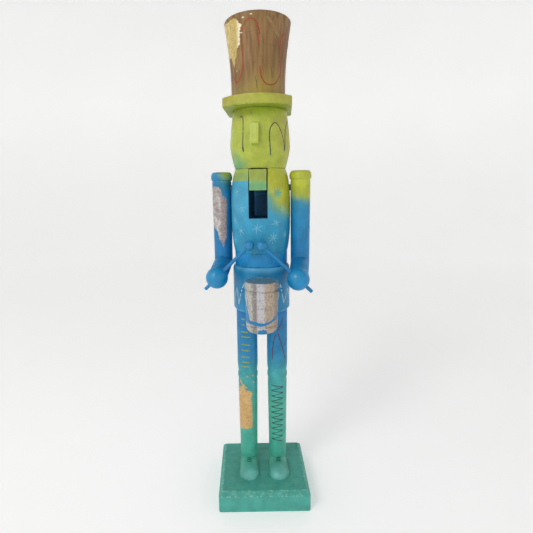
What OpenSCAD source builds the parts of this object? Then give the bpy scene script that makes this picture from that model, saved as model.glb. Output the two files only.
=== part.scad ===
// Drummer nutcracker: a turned wooden figure on a square base, with a jaw worked by a lever
// down its back, and two pegged arms that hold drumsticks over a small drum.
// It stands on z = 0, centred on the base, and looks along -Y. Its own left side is +X.

/* [Base] */
// Width of the base block
base_w = 120; // [100:1:150]
// Depth of the base block
base_d = 114; // [100:1:150]
// Thickness of the base block
base_t = 27.5; // [20:0.5:40]
// Width of the bevel round the top edge
base_bevel = 5; // [1:0.5:8]
// Radius of the four upright corners
base_corner_r = 3; // [1:0.5:8]
// How far the figure stands behind the middle of the base
figure_setback = 12; // [0:1:14]
// How far the figure stands to its own left of the middle of the base
figure_aside = 1; // [-3:0.5:3]

/* [Legs] */
// Height from the top of the base to the underside of the skirt
leg_length = 229; // [190:1:280]
// Distance between the two leg axes
leg_spacing = 41; // [36:1:44]
// Radius of the thigh
thigh_r = 14; // [10:0.5:17]
// Radius of the leg where it stands on the base
ankle_r = 11.9; // [8:0.1:15]
// Radius of the boot just under the knee
boot_top_r = 13.3; // [9:0.1:16]
// Height of the knee bead above the base
knee_height = 135; // [110:1:160]
// Radius of the knee bead
knee_bead_r = 13.8; // [9:0.1:16]
// Depth of the turned grooves on both sides of the knee bead
knee_groove_depth = 0.8; // [0.3:0.1:2]
// Radius of the tenon on top of each leg
leg_tenon_r = 6; // [4:0.5:8]
// Length of the tenon on top of each leg
leg_tenon_l = 18; // [10:1:30]

/* [Shoes] */
// Width of a shoe
shoe_w = 28.6; // [24:0.2:34]
// Distance from the leg's axis to the tip of the toe
shoe_reach = 45; // [32:1:52]
// Height of the shoe at the leg
shoe_heel_h = 14; // [8:0.5:20]
// Height of the shoe over the toe
shoe_toe_h = 10; // [6:0.5:16]

/* [Skirt and waist] */
// Radius of the coat skirt
skirt_r = 37.5; // [34:0.5:44]
// Height of the coat skirt
skirt_h = 61; // [50:1:80]
// Chamfer round the skirt's lower edge
skirt_chamfer = 4; // [1:0.5:8]
// Height of the rounded shoulder round the skirt's upper edge
skirt_shoulder_h = 7; // [2:0.5:12]
// Radius of the waist disc
waist_r = 34.3; // [30:0.1:40]
// Height of the waist disc
waist_h = 17.5; // [10:0.5:30]
// Radius of the dowel that joins skirt, waist and torso
waist_dowel_r = 6; // [4:0.5:9]
// Depth of that dowel in the skirt and in the torso
waist_dowel_depth = 25; // [15:1:35]

/* [Torso] */
// Largest radius of the torso
torso_r = 38.2; // [36:0.1:44]
// Height of the torso
torso_h = 105; // [95:1:130]
// Radius of the torso's lower end
torso_bottom_r = 34.3; // [28:0.1:40]
// Radius of the torso's upper end
torso_top_r = 32.3; // [28:0.1:38]
// Angle by which the torso, with its jaw slot, is turned to the figure's right
torso_turn = 7; // [0:1:15]

/* [Jaw] */
// Width of the jaw slot
slot_w = 23.4; // [18:0.2:28]
// Depth of the slot below the torso's upper end
slot_depth = 60.5; // [50:0.5:70]
// Height of the jaw block
jaw_h = 25; // [16:0.5:30]
// Gap on each side between the jaw and the slot
jaw_side_gap = 1.3; // [0.5:0.1:3]
// Gap between the closed jaw and the head
jaw_top_gap = 1.5; // [1:0.1:4]
// Depth of the jaw block from front to back
jaw_block_d = 24; // [15:1:30]
// Radius of the jaw's hinge pin
jaw_pin_r = 3; // [2:0.25:4]
// Distance of the hinge pin behind the figure's axis
jaw_pin_back = 22; // [15:1:26]
// Thickness of the lever's tail
tail_t = 12.5; // [8:0.5:18]
// Height of the tail's lower end above the skirt's lower edge
tail_end = 6; // [0:1:60]
// Width of the tail just under the head
tail_top_w = 25; // [16:0.5:30]
// Width of the tail at its lower end
tail_end_w = 32; // [20:1:40]

/* [Head] */
// Largest radius of the head
head_r = 37.9; // [34:0.1:42]
// Height of the head
head_h = 70.5; // [60:0.5:90]
// Radius of the head's lower end
head_bottom_r = 32; // [28:0.1:36]
// Radius of the head's upper end
head_top_r = 33.8; // [30:0.1:38]
// Height of the widest place above the head's lower end
cheek_height = 28; // [20:1:40]
// Angle by which the head is turned to the figure's right
head_turn = 11; // [0:1:15]
// Width of the nose
nose_w = 10.4; // [7:0.2:15]
// Height of the nose
nose_h = 24.5; // [15:0.5:32]
// Distance of the nose's lower edge from the head's lower end
nose_height = 28.5; // [18:0.5:34]
// How far the nose stands out of the head at its lower edge
nose_out = 8; // [4:0.5:14]

/* [Hat] */
// Radius of the hat brim
brim_r = 51.5; // [46:0.5:60]
// Distance from the axis to each sawn side of the brim
brim_flat = 41.3; // [38:0.1:46]
// Thickness of the brim
brim_t = 11.5; // [6:0.5:16]
// Radius of the hat just above the brim
crown_r = 33.3; // [28:0.1:40]
// Height of the hat above the brim
crown_h = 90.5; // [60:0.5:110]
// How much the hat widens towards its top
crown_flare = 7.1; // [0:0.1:10]
// Height above the brim at which the hat starts to widen
flare_start = 9; // [4:1:30]
// Angle by which the hat is turned to the figure's right
hat_turn = 5; // [0:1:15]
// How far the hat sits to the figure's right of the head's axis
hat_aside = 1.5; // [0:0.5:3]
// Radius of the dowels in the hat and neck
dowel_r = 4; // [3:0.5:5]

/* [Arms] */
// Angle by which the shoulder pegs and arms are turned to the figure's right
arm_turn = 10; // [0:1:15]
// Gap between each arm and the widest part of the body
arm_gap = 0.5; // [0.3:0.1:6]
// Radius of the arm at the elbow
arm_r = 12.1; // [10:0.1:12.2]
// Radius of the arm under the shoulder cap
arm_top_r = 12.6; // [12:0.1:13]
// Radius of the rounded shoulder cap
cap_r = 13.9; // [13:0.1:15]
// Radius of the flat on top of the shoulder cap
cap_flat_r = 10.5; // [7:0.5:11.5]
// Height of that flat above the cap's widest place
cap_flat_h = 6.5; // [4:0.5:9]
// Distance from the torso's upper end down to the cap's widest place
cap_drop = 9; // [5:1:14]
// Distance from the torso's lower end down to the elbow
elbow_drop = 15; // [5:1:25]
// Angle of the forearm below the horizontal
forearm_slope = 20; // [0:1:35]
// Length from the elbow to the middle of the hand
forearm_l = 42.6; // [36:0.2:55]
// Radius of the hand
hand_r = 14; // [12.6:0.1:17]
// Radius of the shoulder pegs
peg_r = 4; // [3:0.5:5]
// Distance from the torso's upper end down to the shoulder pegs
peg_drop = 23; // [21:1:32]
// Running clearance round a hinge pin or a shoulder peg
running_gap = 0.05; // [0.02:0.01:0.08]

/* [Drumsticks] */
// Radius of a drumstick
stick_r = 2.25; // [1.5:0.25:3]
// Radius of the ball on a drumstick's tip
tip_r = 6.6; // [5:0.1:8]
// Gap between the two tips
tips_apart = 3; // [1:0.1:10]
// Gap between the tips and the widest part of the torso
tip_gap = 3.6; // [1:0.1:15]
// Height of the tips above the hands
tip_rise = 42; // [30:0.5:55]
// Length of stick that sticks out behind the middle of the hand
stick_tail = 23.5; // [18:0.5:35]

/* [Drum] */
// Angle by which the drum is set to the figure's right on the skirt
drum_turn = 2; // [0:1:15]
// Radius of the drum's upper part
drum_r = 20.8; // [20.5:0.1:25]
// Height of the drum
drum_h = 64; // [50:1:75]
// How far the drum hangs below the skirt's lower edge
drum_drop = 14; // [0:1:20]
// Height of each hoop
hoop_h = 10.5; // [6:0.5:14]
// Radius of the drum's lower hoop
lower_hoop_r = 19.5; // [15:0.1:23]
// Radius of the flat middle of the drum's underside
drum_foot_r = 11; // [4:0.5:14]
// Depth of the grooves beside the hoops
hoop_groove = 1; // [0.4:0.1:1.5]
// Depth of the flat planed on the drum's back
drum_seat = 1; // [0.5:0.1:3]
// Radius of the ring of a screw eye
eye_ring_r = 2.4; // [2:0.1:4]
// Radius of a screw eye's wire
eye_wire_r = 0.75; // [0.5:0.05:1]

/* [Hidden] */
$fn = 96;

// Heights of the joints between the stacked pieces.
skirt_z = base_t + leg_length;
waist_z = skirt_z + skirt_h;
torso_z = waist_z + waist_h;
head_z = torso_z + torso_h;
brim_z = head_z + head_h;
crown_z = brim_z + brim_t;
dowel_depth = 15;
neck_dowel_x = (slot_w / 2 + torso_top_r) / 2;
body_r = max(torso_r, skirt_r);
cut = 200;

// The jaw and its lever, in the torso's own frame.
slot_z = head_z - slot_depth;
jaw_w = slot_w - 2 * jaw_side_gap;
jaw_top = head_z - jaw_top_gap;
jaw_front = -(torso_r - 1.2);
jaw_pin_z = jaw_top - jaw_h / 2;
jaw_pin_l = 2 * sqrt(pow(torso_top_r, 2) - pow(jaw_pin_back, 2)) - 2;
tail_front = body_r + 1.4;
tail_z = skirt_z + tail_end;

// The arms: elbow, hand and stick tip of the left side, in the arms' own frame.
arm_out = body_r + arm_gap + arm_top_r;
elbow_z = torso_z - elbow_drop;
cap_z = head_z - cap_drop;
peg_z = head_z - peg_drop;
elbow = [arm_out, 0, elbow_z];
hand = elbow + forearm_l * [0, -cos(forearm_slope), -sin(forearm_slope)];
tip = [tip_r + tips_apart / 2, -(torso_r + tip_gap + tip_r), hand[2] + tip_rise];
mitre_angle = (90 - forearm_slope) / 2;
wrist_l = sqrt(pow(hand_r, 2) - pow(arm_r, 2));
wrist_tenon_r = 4;
wrist_tenon_l = 4.4;
peg_inner = slot_w / 2 + 8;
peg_outer = arm_out + 4;
peg_end_gap = 0.5;

// The screws that hold the legs on the base.
screw_r = 2;
screw_l = 60;
screw_head_r = 4.4;
screw_head_h = 3;
screw_sink = 1.5;

// The drum, with its axis in front of the skirt.
drum_y = -(skirt_r + drum_r - drum_seat);
drum_z = skirt_z - drum_drop;
drum_peg_r = 3;
drum_peg_in = 18;
drum_peg_z = drum_z + drum_h / 2;
eye_z = drum_z + drum_h - hoop_h - 2;
eye_shank_l = 9;

function arc(cx, cy, rx, ry, a0, a1, n) =
    [for (i = [0 : n]) [cx + rx * cos(a0 + (a1 - a0) * i / n), cy + ry * sin(a0 + (a1 - a0) * i / n)]];

// A turned swelling from radius r0 at z0 to r1 at z1, widest (rm) at zm, with powers p0 and p1.
function swell(r0, z0, rm, zm, r1, z1, p0, p1, n) = concat(
    [for (i = [0 : n - 1]) [r0 + (rm - r0) * (1 - pow(1 - i / n, p0)), z0 + (zm - z0) * i / n]],
    [for (i = [0 : n]) [rm + (r1 - rm) * pow(i / n, p1), zm + (z1 - zm) * i / n]]
);

module figure() {
    translate([figure_aside, figure_setback, 0]) children();
}

module turned_torso() {
    figure() rotate([0, 0, -torso_turn]) children();
}

module turned_arms() {
    figure() rotate([0, 0, -arm_turn]) children();
}

module turned_head() {
    figure() rotate([0, 0, -head_turn]) children();
}

module hat() {
    figure() rotate([0, 0, -hat_turn]) translate([-hat_aside, 0, 0]) children();
}

module turned_drum() {
    figure() rotate([0, 0, -drum_turn]) children();
}

// side is 1 for the figure's left half and -1 for its right half.
module on_side(side) {
    if (side > 0) children();
    else mirror([1, 0, 0]) children();
}

// Straight round bar from point a to point b.
module rod(a, b, r) {
    v = b - a;
    length = norm(v);
    translate(a) rotate([0, acos(v[2] / length), atan2(v[1], v[0])]) cylinder(h = length, r = r);
}

module upright_dowel(x, z0, z1, r) {
    translate([x, 0, z0]) cylinder(h = z1 - z0, r = r);
}

// ---- Base, legs and shoes ----

module base_bevels() {
    for (i = [0 : 3]) {
        half = (i % 2 == 0 ? base_d : base_w) / 2;
        rotate([0, 0, 90 * i])
            translate([0, -half, base_t])
                rotate([45, 0, 0])
                    cube([2 * cut, base_bevel * sqrt(2), base_bevel * sqrt(2)], center = true);
    }
}

module base_blank() {
    union() {
        translate([-base_w / 2 + base_corner_r, -base_d / 2, 0])
            cube([base_w - 2 * base_corner_r, base_d, base_t]);
        translate([-base_w / 2, -base_d / 2 + base_corner_r, 0])
            cube([base_w, base_d - 2 * base_corner_r, base_t]);
        for (x = [-1, 1], y = [-1, 1])
            translate([x * (base_w / 2 - base_corner_r), y * (base_d / 2 - base_corner_r), 0])
                cylinder(h = base_t, r = base_corner_r);
    }
}

module base_plate() {
    color("cadetblue") difference() {
        base_blank();
        base_bevels();
        for (side = [-1, 1])
            figure() translate([side * leg_spacing / 2, 0, 0]) {
                translate([0, 0, -1]) cylinder(h = base_t + 2, r = screw_r + 0.2);
                translate([0, 0, -1]) cylinder(h = 1 + screw_sink + screw_head_h, r = screw_head_r + 0.3);
            }
    }
}

module leg_screws() {
    color("silver") for (side = [-1, 1])
        figure() translate([side * leg_spacing / 2, 0, screw_sink]) {
            cylinder(h = screw_l, r = screw_r);
            cylinder(h = screw_head_h, r = screw_head_r);
        }
}

function leg_outline() =
    let (
        groove = knee_bead_r - knee_groove_depth,
        half_bead = 4.3,
        neck = 1.6
    )
    concat(
        [[0, 0], [ankle_r, 0]],
        [[boot_top_r, knee_height - half_bead - 6.5]],
        [[groove, knee_height - half_bead - neck]],
        arc(groove, knee_height, knee_groove_depth, half_bead, -90, 90, 6),
        [[groove, knee_height + half_bead + neck / 2]],
        [for (i = [1 : 5]) [groove + (thigh_r - groove) * sin(18 * i), knee_height + 5 + 3 * i]],
        [[thigh_r, leg_length], [leg_tenon_r, leg_length], [leg_tenon_r, leg_length + leg_tenon_l]],
        [[0, leg_length + leg_tenon_l]]
    );

module leg(side) {
    color("teal") difference() {
        figure() translate([side * leg_spacing / 2, 0, base_t]) rotate_extrude() polygon(leg_outline());
        figure() translate([side * leg_spacing / 2, 0, 0]) cylinder(h = screw_sink + screw_l, r = screw_r);
    }
}

module left_leg() {
    leg(1);
}

module right_leg() {
    leg(-1);
}

module dome(r, h) {
    rotate_extrude($fn = 48) polygon(concat([[0, 0]], arc(0, 0, r, h, 0, 90, 10)));
}

module shoe(side) {
    color("mediumaquamarine") difference() {
        figure() translate([side * leg_spacing / 2, 0, base_t]) hull() {
            translate([0, -(shoe_reach - shoe_w / 2), 0]) dome(shoe_w / 2, shoe_toe_h);
            translate([0, -3, 0]) dome(ankle_r + 1.2, shoe_heel_h);
        }
        figure() translate([side * leg_spacing / 2, 0, base_t])
            rotate_extrude() polygon(leg_outline());
        figure() translate([side * leg_spacing / 2 - cut / 2, 0, 0]) cube([cut, cut, cut]);
    }
}

module left_shoe() {
    shoe(1);
}

module right_shoe() {
    shoe(-1);
}

// ---- Skirt, waist and torso ----

module skirt() {
    color("steelblue") figure() difference() {
        translate([0, 0, skirt_z]) rotate_extrude() polygon(concat(
            [[0, 0], [skirt_r - skirt_chamfer, 0]],
            [[skirt_r, skirt_chamfer]],
            arc(waist_r + 1, skirt_h - skirt_shoulder_h, skirt_r - waist_r - 1, skirt_shoulder_h, 0, 90, 6),
            [[0, skirt_h]]
        ));
        for (side = [-1, 1])
            upright_dowel(side * leg_spacing / 2, skirt_z - 1, skirt_z + leg_tenon_l, leg_tenon_r);
        upright_dowel(0, waist_z - waist_dowel_depth, waist_z + 1, waist_dowel_r);
        rotate([0, 0, -drum_turn])
            rod([0, drum_y, drum_peg_z], [0, -skirt_r + drum_peg_in, drum_peg_z], drum_peg_r);
    }
}

module waist() {
    color("steelblue") figure() difference() {
        translate([0, 0, waist_z]) rotate_extrude() polygon([
            [0, 0], [waist_r - 0.8, 0], [waist_r, 0.8], [waist_r, waist_h - 0.8], [waist_r - 0.8, waist_h],
            [0, waist_h]
        ]);
        upright_dowel(0, waist_z - 1, torso_z + 1, waist_dowel_r);
    }
}

module waist_dowel() {
    color("burlywood") figure()
        upright_dowel(0, waist_z - waist_dowel_depth, torso_z + waist_dowel_depth, waist_dowel_r);
}

module torso_blank() {
    translate([0, 0, torso_z]) rotate_extrude() polygon(concat(
        [[0, 0]],
        swell(torso_bottom_r, 0, torso_r, 0.46 * torso_h, torso_top_r, torso_h, 2.8, 3.6, 10),
        [[0, torso_h]]
    ));
}

module torso() {
    color("deepskyblue") turned_torso() difference() {
        torso_blank();
        translate([-slot_w / 2, -cut / 2, slot_z]) cube([slot_w, cut, cut]);
        upright_dowel(0, torso_z - 1, torso_z + waist_dowel_depth, waist_dowel_r);
        for (side = [-1, 1])
            upright_dowel(side * neck_dowel_x, head_z - dowel_depth, head_z + 1, dowel_r);
        translate([0, jaw_pin_back, jaw_pin_z]) rod([-jaw_pin_l / 2, 0, 0], [jaw_pin_l / 2, 0, 0], jaw_pin_r);
        rotate([0, 0, torso_turn - arm_turn]) for (side = [-1, 1])
            rod([side * peg_inner, 0, peg_z], [side * cut, 0, peg_z], peg_r);
    }
}

// ---- Jaw ----

module jaw_pin() {
    color("silver") turned_torso()
        translate([0, jaw_pin_back, jaw_pin_z]) rod([-jaw_pin_l / 2, 0, 0], [jaw_pin_l / 2, 0, 0], jaw_pin_r);
}

// Side view of the lever: x here is the distance behind the figure's axis, y is the height.
function lever_outline() =
    let (
        tongue_front = jaw_front + jaw_block_d,
        tongue_bottom = jaw_top - jaw_h + 1.5,
        tail_back = tail_front + tail_t
    )
    concat(
        [[tongue_front, tongue_bottom], [tongue_front, jaw_top], [jaw_pin_back, jaw_top]],
        arc(tail_back - 8, jaw_pin_z - 12, 8, 8, 60, 0, 4),
        arc(tail_back - 4, tail_z + 4, 4, 4, 0, -90, 4),
        [[tail_front, tail_z], [tail_front, tongue_bottom - 8]],
        arc(tail_front - 8, tongue_bottom - 8, 8, 8, 0, 90, 4)
    );

// Back view of the tail, which widens downwards from the slot.
function tail_shape() =
    let (
        half = tail_top_w / 2,
        end_half = tail_end_w / 2,
        flare_top = slot_z - 6
    )
    concat(
        [[-half, head_z], [half, head_z], [half, flare_top]],
        [[end_half, skirt_z + 45]],
        arc(end_half - 8, tail_z + 8, 8, 8, 0, -90, 6),
        arc(-end_half + 8, tail_z + 8, 8, 8, -90, -180, 6),
        [[-end_half, skirt_z + 45], [-half, flare_top]]
    );

module jaw_lever() {
    color("peru") turned_torso() difference() {
        intersection() {
            translate([-cut / 2, 0, 0]) rotate([90, 0, 90]) linear_extrude(cut) polygon(lever_outline());
            union() {
                translate([-jaw_w / 2, -cut, slot_z]) cube([jaw_w, cut + tail_front + 1, cut]);
                translate([0, tail_front + cut, 0]) rotate([90, 0, 0]) linear_extrude(cut) polygon(tail_shape());
            }
        }
        translate([0, jaw_pin_back, jaw_pin_z])
            rod([-slot_w, 0, 0], [slot_w, 0, 0], jaw_pin_r + running_gap);
    }
}

module jaw_block() {
    color("yellowgreen") turned_torso()
        translate([-jaw_w / 2, jaw_front, jaw_top - jaw_h]) cube([jaw_w, jaw_block_d, jaw_h]);
}

// ---- Head and hat ----

module head_blank() {
    translate([0, 0, head_z]) rotate_extrude() polygon(concat(
        [[0, 0]],
        swell(head_bottom_r, 0, head_r, cheek_height, head_top_r, head_h, 1.5, 1.35, 10),
        [[0, head_h]]
    ));
}

module head() {
    color("yellowgreen") difference() {
        turned_head() head_blank();
        turned_torso() for (side = [-1, 1])
            upright_dowel(side * neck_dowel_x, head_z - 1, head_z + dowel_depth, dowel_r);
        hat() upright_dowel(0, brim_z - dowel_depth, brim_z + 1, dowel_r);
    }
}

module neck_dowels() {
    color("burlywood") turned_torso() for (side = [-1, 1])
        upright_dowel(side * neck_dowel_x, head_z - dowel_depth, head_z + dowel_depth, dowel_r);
}

module nose() {
    nose_front = head_r + nose_out;
    nose_z = head_z + nose_height;
    color("yellowgreen") turned_head() difference() {
        translate([-nose_w / 2, 0, 0]) rotate([90, 0, 90]) linear_extrude(nose_w) polygon([
            [-nose_front + 14, nose_z + 0.5], [-nose_front + 2, nose_z - 1], [-nose_front, nose_z + 2],
            [-nose_front + 4.5, nose_z + nose_h - 2], [-nose_front + 6.5, nose_z + nose_h],
            [-nose_front + 14, nose_z + nose_h]
        ]);
        head_blank();
    }
}

module hat_brim() {
    color("darkkhaki") hat() difference() {
        intersection() {
            translate([0, 0, brim_z]) rotate_extrude() polygon([
                [0, 0], [brim_r - 0.8, 0], [brim_r, 0.8], [brim_r, brim_t - 0.8], [brim_r - 0.8, brim_t],
                [0, brim_t]
            ]);
            translate([-brim_flat, -cut, 0]) cube([2 * brim_flat, 2 * cut, 5 * cut]);
        }
        upright_dowel(0, brim_z - 1, crown_z + 1, dowel_r);
    }
}

function crown_outline() =
    let (
        edge = 2,
        rise = crown_h - flare_start - edge,
        steps = 12
    )
    concat(
        [[0, 0], [crown_r, 0], [crown_r, flare_start]],
        [for (i = [1 : steps]) [crown_r + crown_flare * pow(i / steps, 2), flare_start + rise * i / steps]],
        arc(crown_r + crown_flare - edge, crown_h - edge, edge, edge, 22.5, 90, 3),
        [[0, crown_h]]
    );

module hat_crown() {
    color("saddlebrown") hat() difference() {
        translate([0, 0, crown_z]) rotate_extrude() polygon(crown_outline());
        upright_dowel(0, crown_z - 1, crown_z + dowel_depth, dowel_r);
    }
}

module hat_dowel() {
    color("burlywood") hat()
        upright_dowel(0, brim_z - dowel_depth, crown_z + dowel_depth, dowel_r);
}

// ---- Arms ----

module shoulder_peg(side) {
    color("burlywood") turned_arms() rod([side * peg_inner, 0, peg_z], [side * peg_outer, 0, peg_z], peg_r);
}

module left_shoulder_peg() {
    shoulder_peg(1);
}

module right_shoulder_peg() {
    shoulder_peg(-1);
}

// Half of space above the mitre plane through the elbow.
module above_mitre() {
    translate(elbow) rotate([-mitre_angle, 0, 0]) translate([-cut, -cut, 0]) cube(2 * cut);
}

module arm(side) {
    below = 20;
    slope = (arm_top_r - arm_r) / (cap_z - 6 - elbow_z);
    color("dodgerblue") turned_arms() on_side(side) difference() {
        intersection() {
            translate([arm_out, 0, 0]) rotate_extrude() polygon(concat(
                [[0, elbow_z - below], [arm_r - slope * below, elbow_z - below]],
                [[arm_top_r, cap_z - 6], [arm_top_r, cap_z - 4]],
                arc(arm_top_r, cap_z, cap_r - arm_top_r, 4, -90, 0, 3),
                arc(cap_flat_r, cap_z, cap_r - cap_flat_r, cap_flat_h, 15, 90, 5),
                [[0, cap_z + cap_flat_h]]
            ));
            above_mitre();
        }
        rod([0, 0, peg_z], [peg_outer + peg_end_gap, 0, peg_z], peg_r + running_gap);
    }
}

module left_arm() {
    arm(1);
}

module right_arm() {
    arm(-1);
}

module forearm(side) {
    wrist = hand + wrist_l * (elbow - hand) / forearm_l;
    color("dodgerblue") turned_arms() on_side(side) union() {
        difference() {
            rod(wrist + 1.4 * (elbow - hand), wrist, arm_r);
            above_mitre();
        }
        rod(wrist, wrist + wrist_tenon_l * (hand - elbow) / forearm_l, wrist_tenon_r);
    }
}

module left_forearm() {
    forearm(1);
}

module right_forearm() {
    forearm(-1);
}

module stick_bar(r) {
    along = (tip - hand) / norm(tip - hand);
    rod(hand - stick_tail * along, tip, r);
}

// Side of the turned hand, from its far end to the flat at the wrist, with the tenon's socket.
function hand_outline() = concat(
    arc(0, 0, hand_r, hand_r, -90, asin(wrist_l / hand_r), 20),
    [[wrist_tenon_r, wrist_l], [wrist_tenon_r, wrist_l - wrist_tenon_l], [0, wrist_l - wrist_tenon_l]]
);

module hand_ball(side) {
    color("dodgerblue") turned_arms() on_side(side) difference() {
        translate(hand) rotate([forearm_slope - 90, 0, 0]) rotate_extrude() polygon(hand_outline());
        stick_bar(stick_r);
    }
}

module left_hand() {
    hand_ball(1);
}

module right_hand() {
    hand_ball(-1);
}

module drumstick(side) {
    color("dodgerblue") turned_arms() on_side(side) stick_bar(stick_r);
}

module left_drumstick() {
    drumstick(1);
}

module right_drumstick() {
    drumstick(-1);
}

module stick_tip(side) {
    color("dodgerblue") turned_arms() on_side(side) difference() {
        translate(tip) sphere(r = tip_r);
        stick_bar(stick_r);
    }
}

module left_stick_tip() {
    stick_tip(1);
}

module right_stick_tip() {
    stick_tip(-1);
}

// ---- Drum ----

function drum_outline() =
    let (
        upper_groove = drum_h - hoop_h,
        shell_r = drum_r - 0.3,
        edge = 0.8
    )
    concat(
        [[0, 0]],
        arc(drum_foot_r, hoop_h - 1.5, lower_hoop_r - drum_foot_r, hoop_h - 1.5, -90, 0, 6),
        [[lower_hoop_r, hoop_h - 1], [lower_hoop_r - hoop_groove, hoop_h], [lower_hoop_r + 0.2, hoop_h + 1]],
        [[shell_r, upper_groove - 1], [shell_r - hoop_groove, upper_groove], [drum_r, upper_groove + 1]],
        [[drum_r, drum_h - edge], [drum_r - edge, drum_h], [0, drum_h]]
    );

module drum_eye_place(side) {
    turned_drum() translate([side * (drum_r - 0.3), drum_y, eye_z]) rotate([0, side * 90, 0]) children();
}

module drum() {
    color("silver") difference() {
        turned_drum() translate([0, drum_y, drum_z]) rotate_extrude() polygon(drum_outline());
        turned_drum() translate([-cut / 2, -skirt_r, 0]) cube([cut, cut, 3 * cut]);
        turned_drum() rod([0, drum_y, drum_peg_z], [0, 0, drum_peg_z], drum_peg_r);
        for (side = [-1, 1])
            drum_eye_place(side) translate([0, 0, -eye_shank_l]) cylinder(h = 2 * eye_shank_l, r = eye_wire_r);
    }
}

module drum_peg() {
    color("burlywood") turned_drum()
        rod([0, drum_y, drum_peg_z], [0, -skirt_r + drum_peg_in, drum_peg_z], drum_peg_r);
}

module drum_screw_eyes() {
    color("silver") for (side = [-1, 1])
        drum_eye_place(side) union() {
            translate([0, 0, -eye_shank_l]) cylinder(h = eye_shank_l + 1, r = eye_wire_r, $fn = 32);
            translate([0, 0, eye_ring_r + eye_wire_r + 0.2]) rotate([0, 90, 90])
                rotate_extrude($fn = 48) translate([eye_ring_r, 0]) circle(r = eye_wire_r, $fn = 24);
        }
}

base_plate();
left_shoe();
right_shoe();
left_leg();
right_leg();
leg_screws();
skirt();
waist();
waist_dowel();
torso();
neck_dowels();
jaw_pin();
jaw_lever();
jaw_block();
head();
nose();
hat_brim();
hat_crown();
hat_dowel();
left_shoulder_peg();
right_shoulder_peg();
left_arm();
right_arm();
left_forearm();
right_forearm();
left_hand();
right_hand();
left_drumstick();
right_drumstick();
left_stick_tip();
right_stick_tip();
drum();
drum_peg();
drum_screw_eyes();
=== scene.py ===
from math import cos, pi, radians, sin, sqrt, tau

import bmesh
import bpy
from mathutils import Matrix, Vector, noise
from mathutils.bvhtree import BVHTree


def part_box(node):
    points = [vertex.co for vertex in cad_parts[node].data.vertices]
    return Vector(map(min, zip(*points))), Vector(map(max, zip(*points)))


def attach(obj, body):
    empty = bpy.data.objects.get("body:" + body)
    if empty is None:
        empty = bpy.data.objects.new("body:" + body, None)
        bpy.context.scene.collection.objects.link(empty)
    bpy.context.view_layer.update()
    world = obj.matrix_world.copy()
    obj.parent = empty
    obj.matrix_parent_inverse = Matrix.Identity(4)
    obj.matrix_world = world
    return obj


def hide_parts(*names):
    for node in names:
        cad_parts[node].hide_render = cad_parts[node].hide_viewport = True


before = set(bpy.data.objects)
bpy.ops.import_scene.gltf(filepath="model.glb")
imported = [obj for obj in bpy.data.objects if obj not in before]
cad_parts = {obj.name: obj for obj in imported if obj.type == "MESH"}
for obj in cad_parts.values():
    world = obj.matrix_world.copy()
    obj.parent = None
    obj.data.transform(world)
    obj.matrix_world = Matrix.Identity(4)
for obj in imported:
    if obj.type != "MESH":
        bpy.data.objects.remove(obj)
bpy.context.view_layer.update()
mm = 0.001

# ---- Floor, light and camera ----
# The figure stands on a plain pale studio floor that curves up into a wall all round. A broad soft
# lamp lights it from the upper left, and a weak one fills the shadows from the right.
floor = bmesh.new()
floor_flat, wall_bend, wall_top = 2.4, 1.2, 3.4
sweep = [(0, 0), (floor_flat, 0)]
for bend in (radians(a) for a in range(10, 91, 10)):
    sweep.append((floor_flat + wall_bend * sin(bend), wall_bend * (1 - cos(bend))))
sweep += [(floor_flat + wall_bend, wall_top)]
rim = [floor.verts.new((r, 0, z)) for r, z in sweep]
line = [floor.edges.new(pair) for pair in zip(rim, rim[1:])]
bmesh.ops.spin(floor, geom=rim + line, cent=(0, 0, 0), axis=(0, 0, 1), angle=tau, steps=96, use_merge=True)
bmesh.ops.remove_doubles(floor, verts=floor.verts, dist=1e-6)
bmesh.ops.recalc_face_normals(floor, faces=floor.faces)
bmesh.ops.reverse_faces(floor, faces=floor.faces)
floor_mesh = bpy.data.meshes.new("studio_floor")
floor.to_mesh(floor_mesh)
floor.free()
floor_mesh.shade_smooth()
studio_floor = bpy.data.objects.new("studio_floor", floor_mesh)
bpy.context.scene.collection.objects.link(studio_floor)


def put(tree, kind, inputs=None, **settings):
    """Adds a shader node, and fills its inputs from plain values or from other nodes' outputs."""
    made = tree.nodes.new("ShaderNode" + kind)
    for key, value in settings.items():
        setattr(made, key, value)
    for key, value in (inputs or {}).items():
        if isinstance(value, bpy.types.NodeSocket):
            tree.links.new(value, made.inputs[key])
        else:
            made.inputs[key].default_value = value
    return made


def noise_at(tree, place, per_metre, detail=4.0, stretch=(1, 1, 1)):
    """Noise with so many features to the metre. A small stretch value draws it out along that axis."""
    scaled = put(tree, "Mapping", {"Vector": place, "Scale": [per_metre * s for s in stretch]})
    return put(tree, "TexNoise", {"Vector": scaled.outputs[0], "Scale": 1.0, "Detail": detail}).outputs[0]


def ramp(tree, value, start, end, low=0.0, high=1.0):
    """low up to start, high from end on, and a smooth change between."""
    ends = {"Value": value, "From Min": start, "From Max": end, "To Min": low, "To Max": high}
    return put(tree, "MapRange", ends, interpolation_type="SMOOTHSTEP").outputs[0]


def calc(tree, operation, a, b=0.0):
    return put(tree, "Math", {0: a, 1: b}, operation=operation).outputs[0]


def mixed(tree, mask, under, over, kind="MIX"):
    """The colour over where mask is 1, and the colour under where it is 0."""
    return put(tree, "Mix", {0: mask, 6: under, 7: over}, data_type="RGBA", blend_type=kind).outputs[2]


def new_material(name):
    material = bpy.data.materials.new(name)
    material.use_nodes = True
    tree = material.node_tree
    place = put(tree, "TexCoord").outputs["Object"]
    return material, tree, tree.nodes["Principled BSDF"], place


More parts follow.
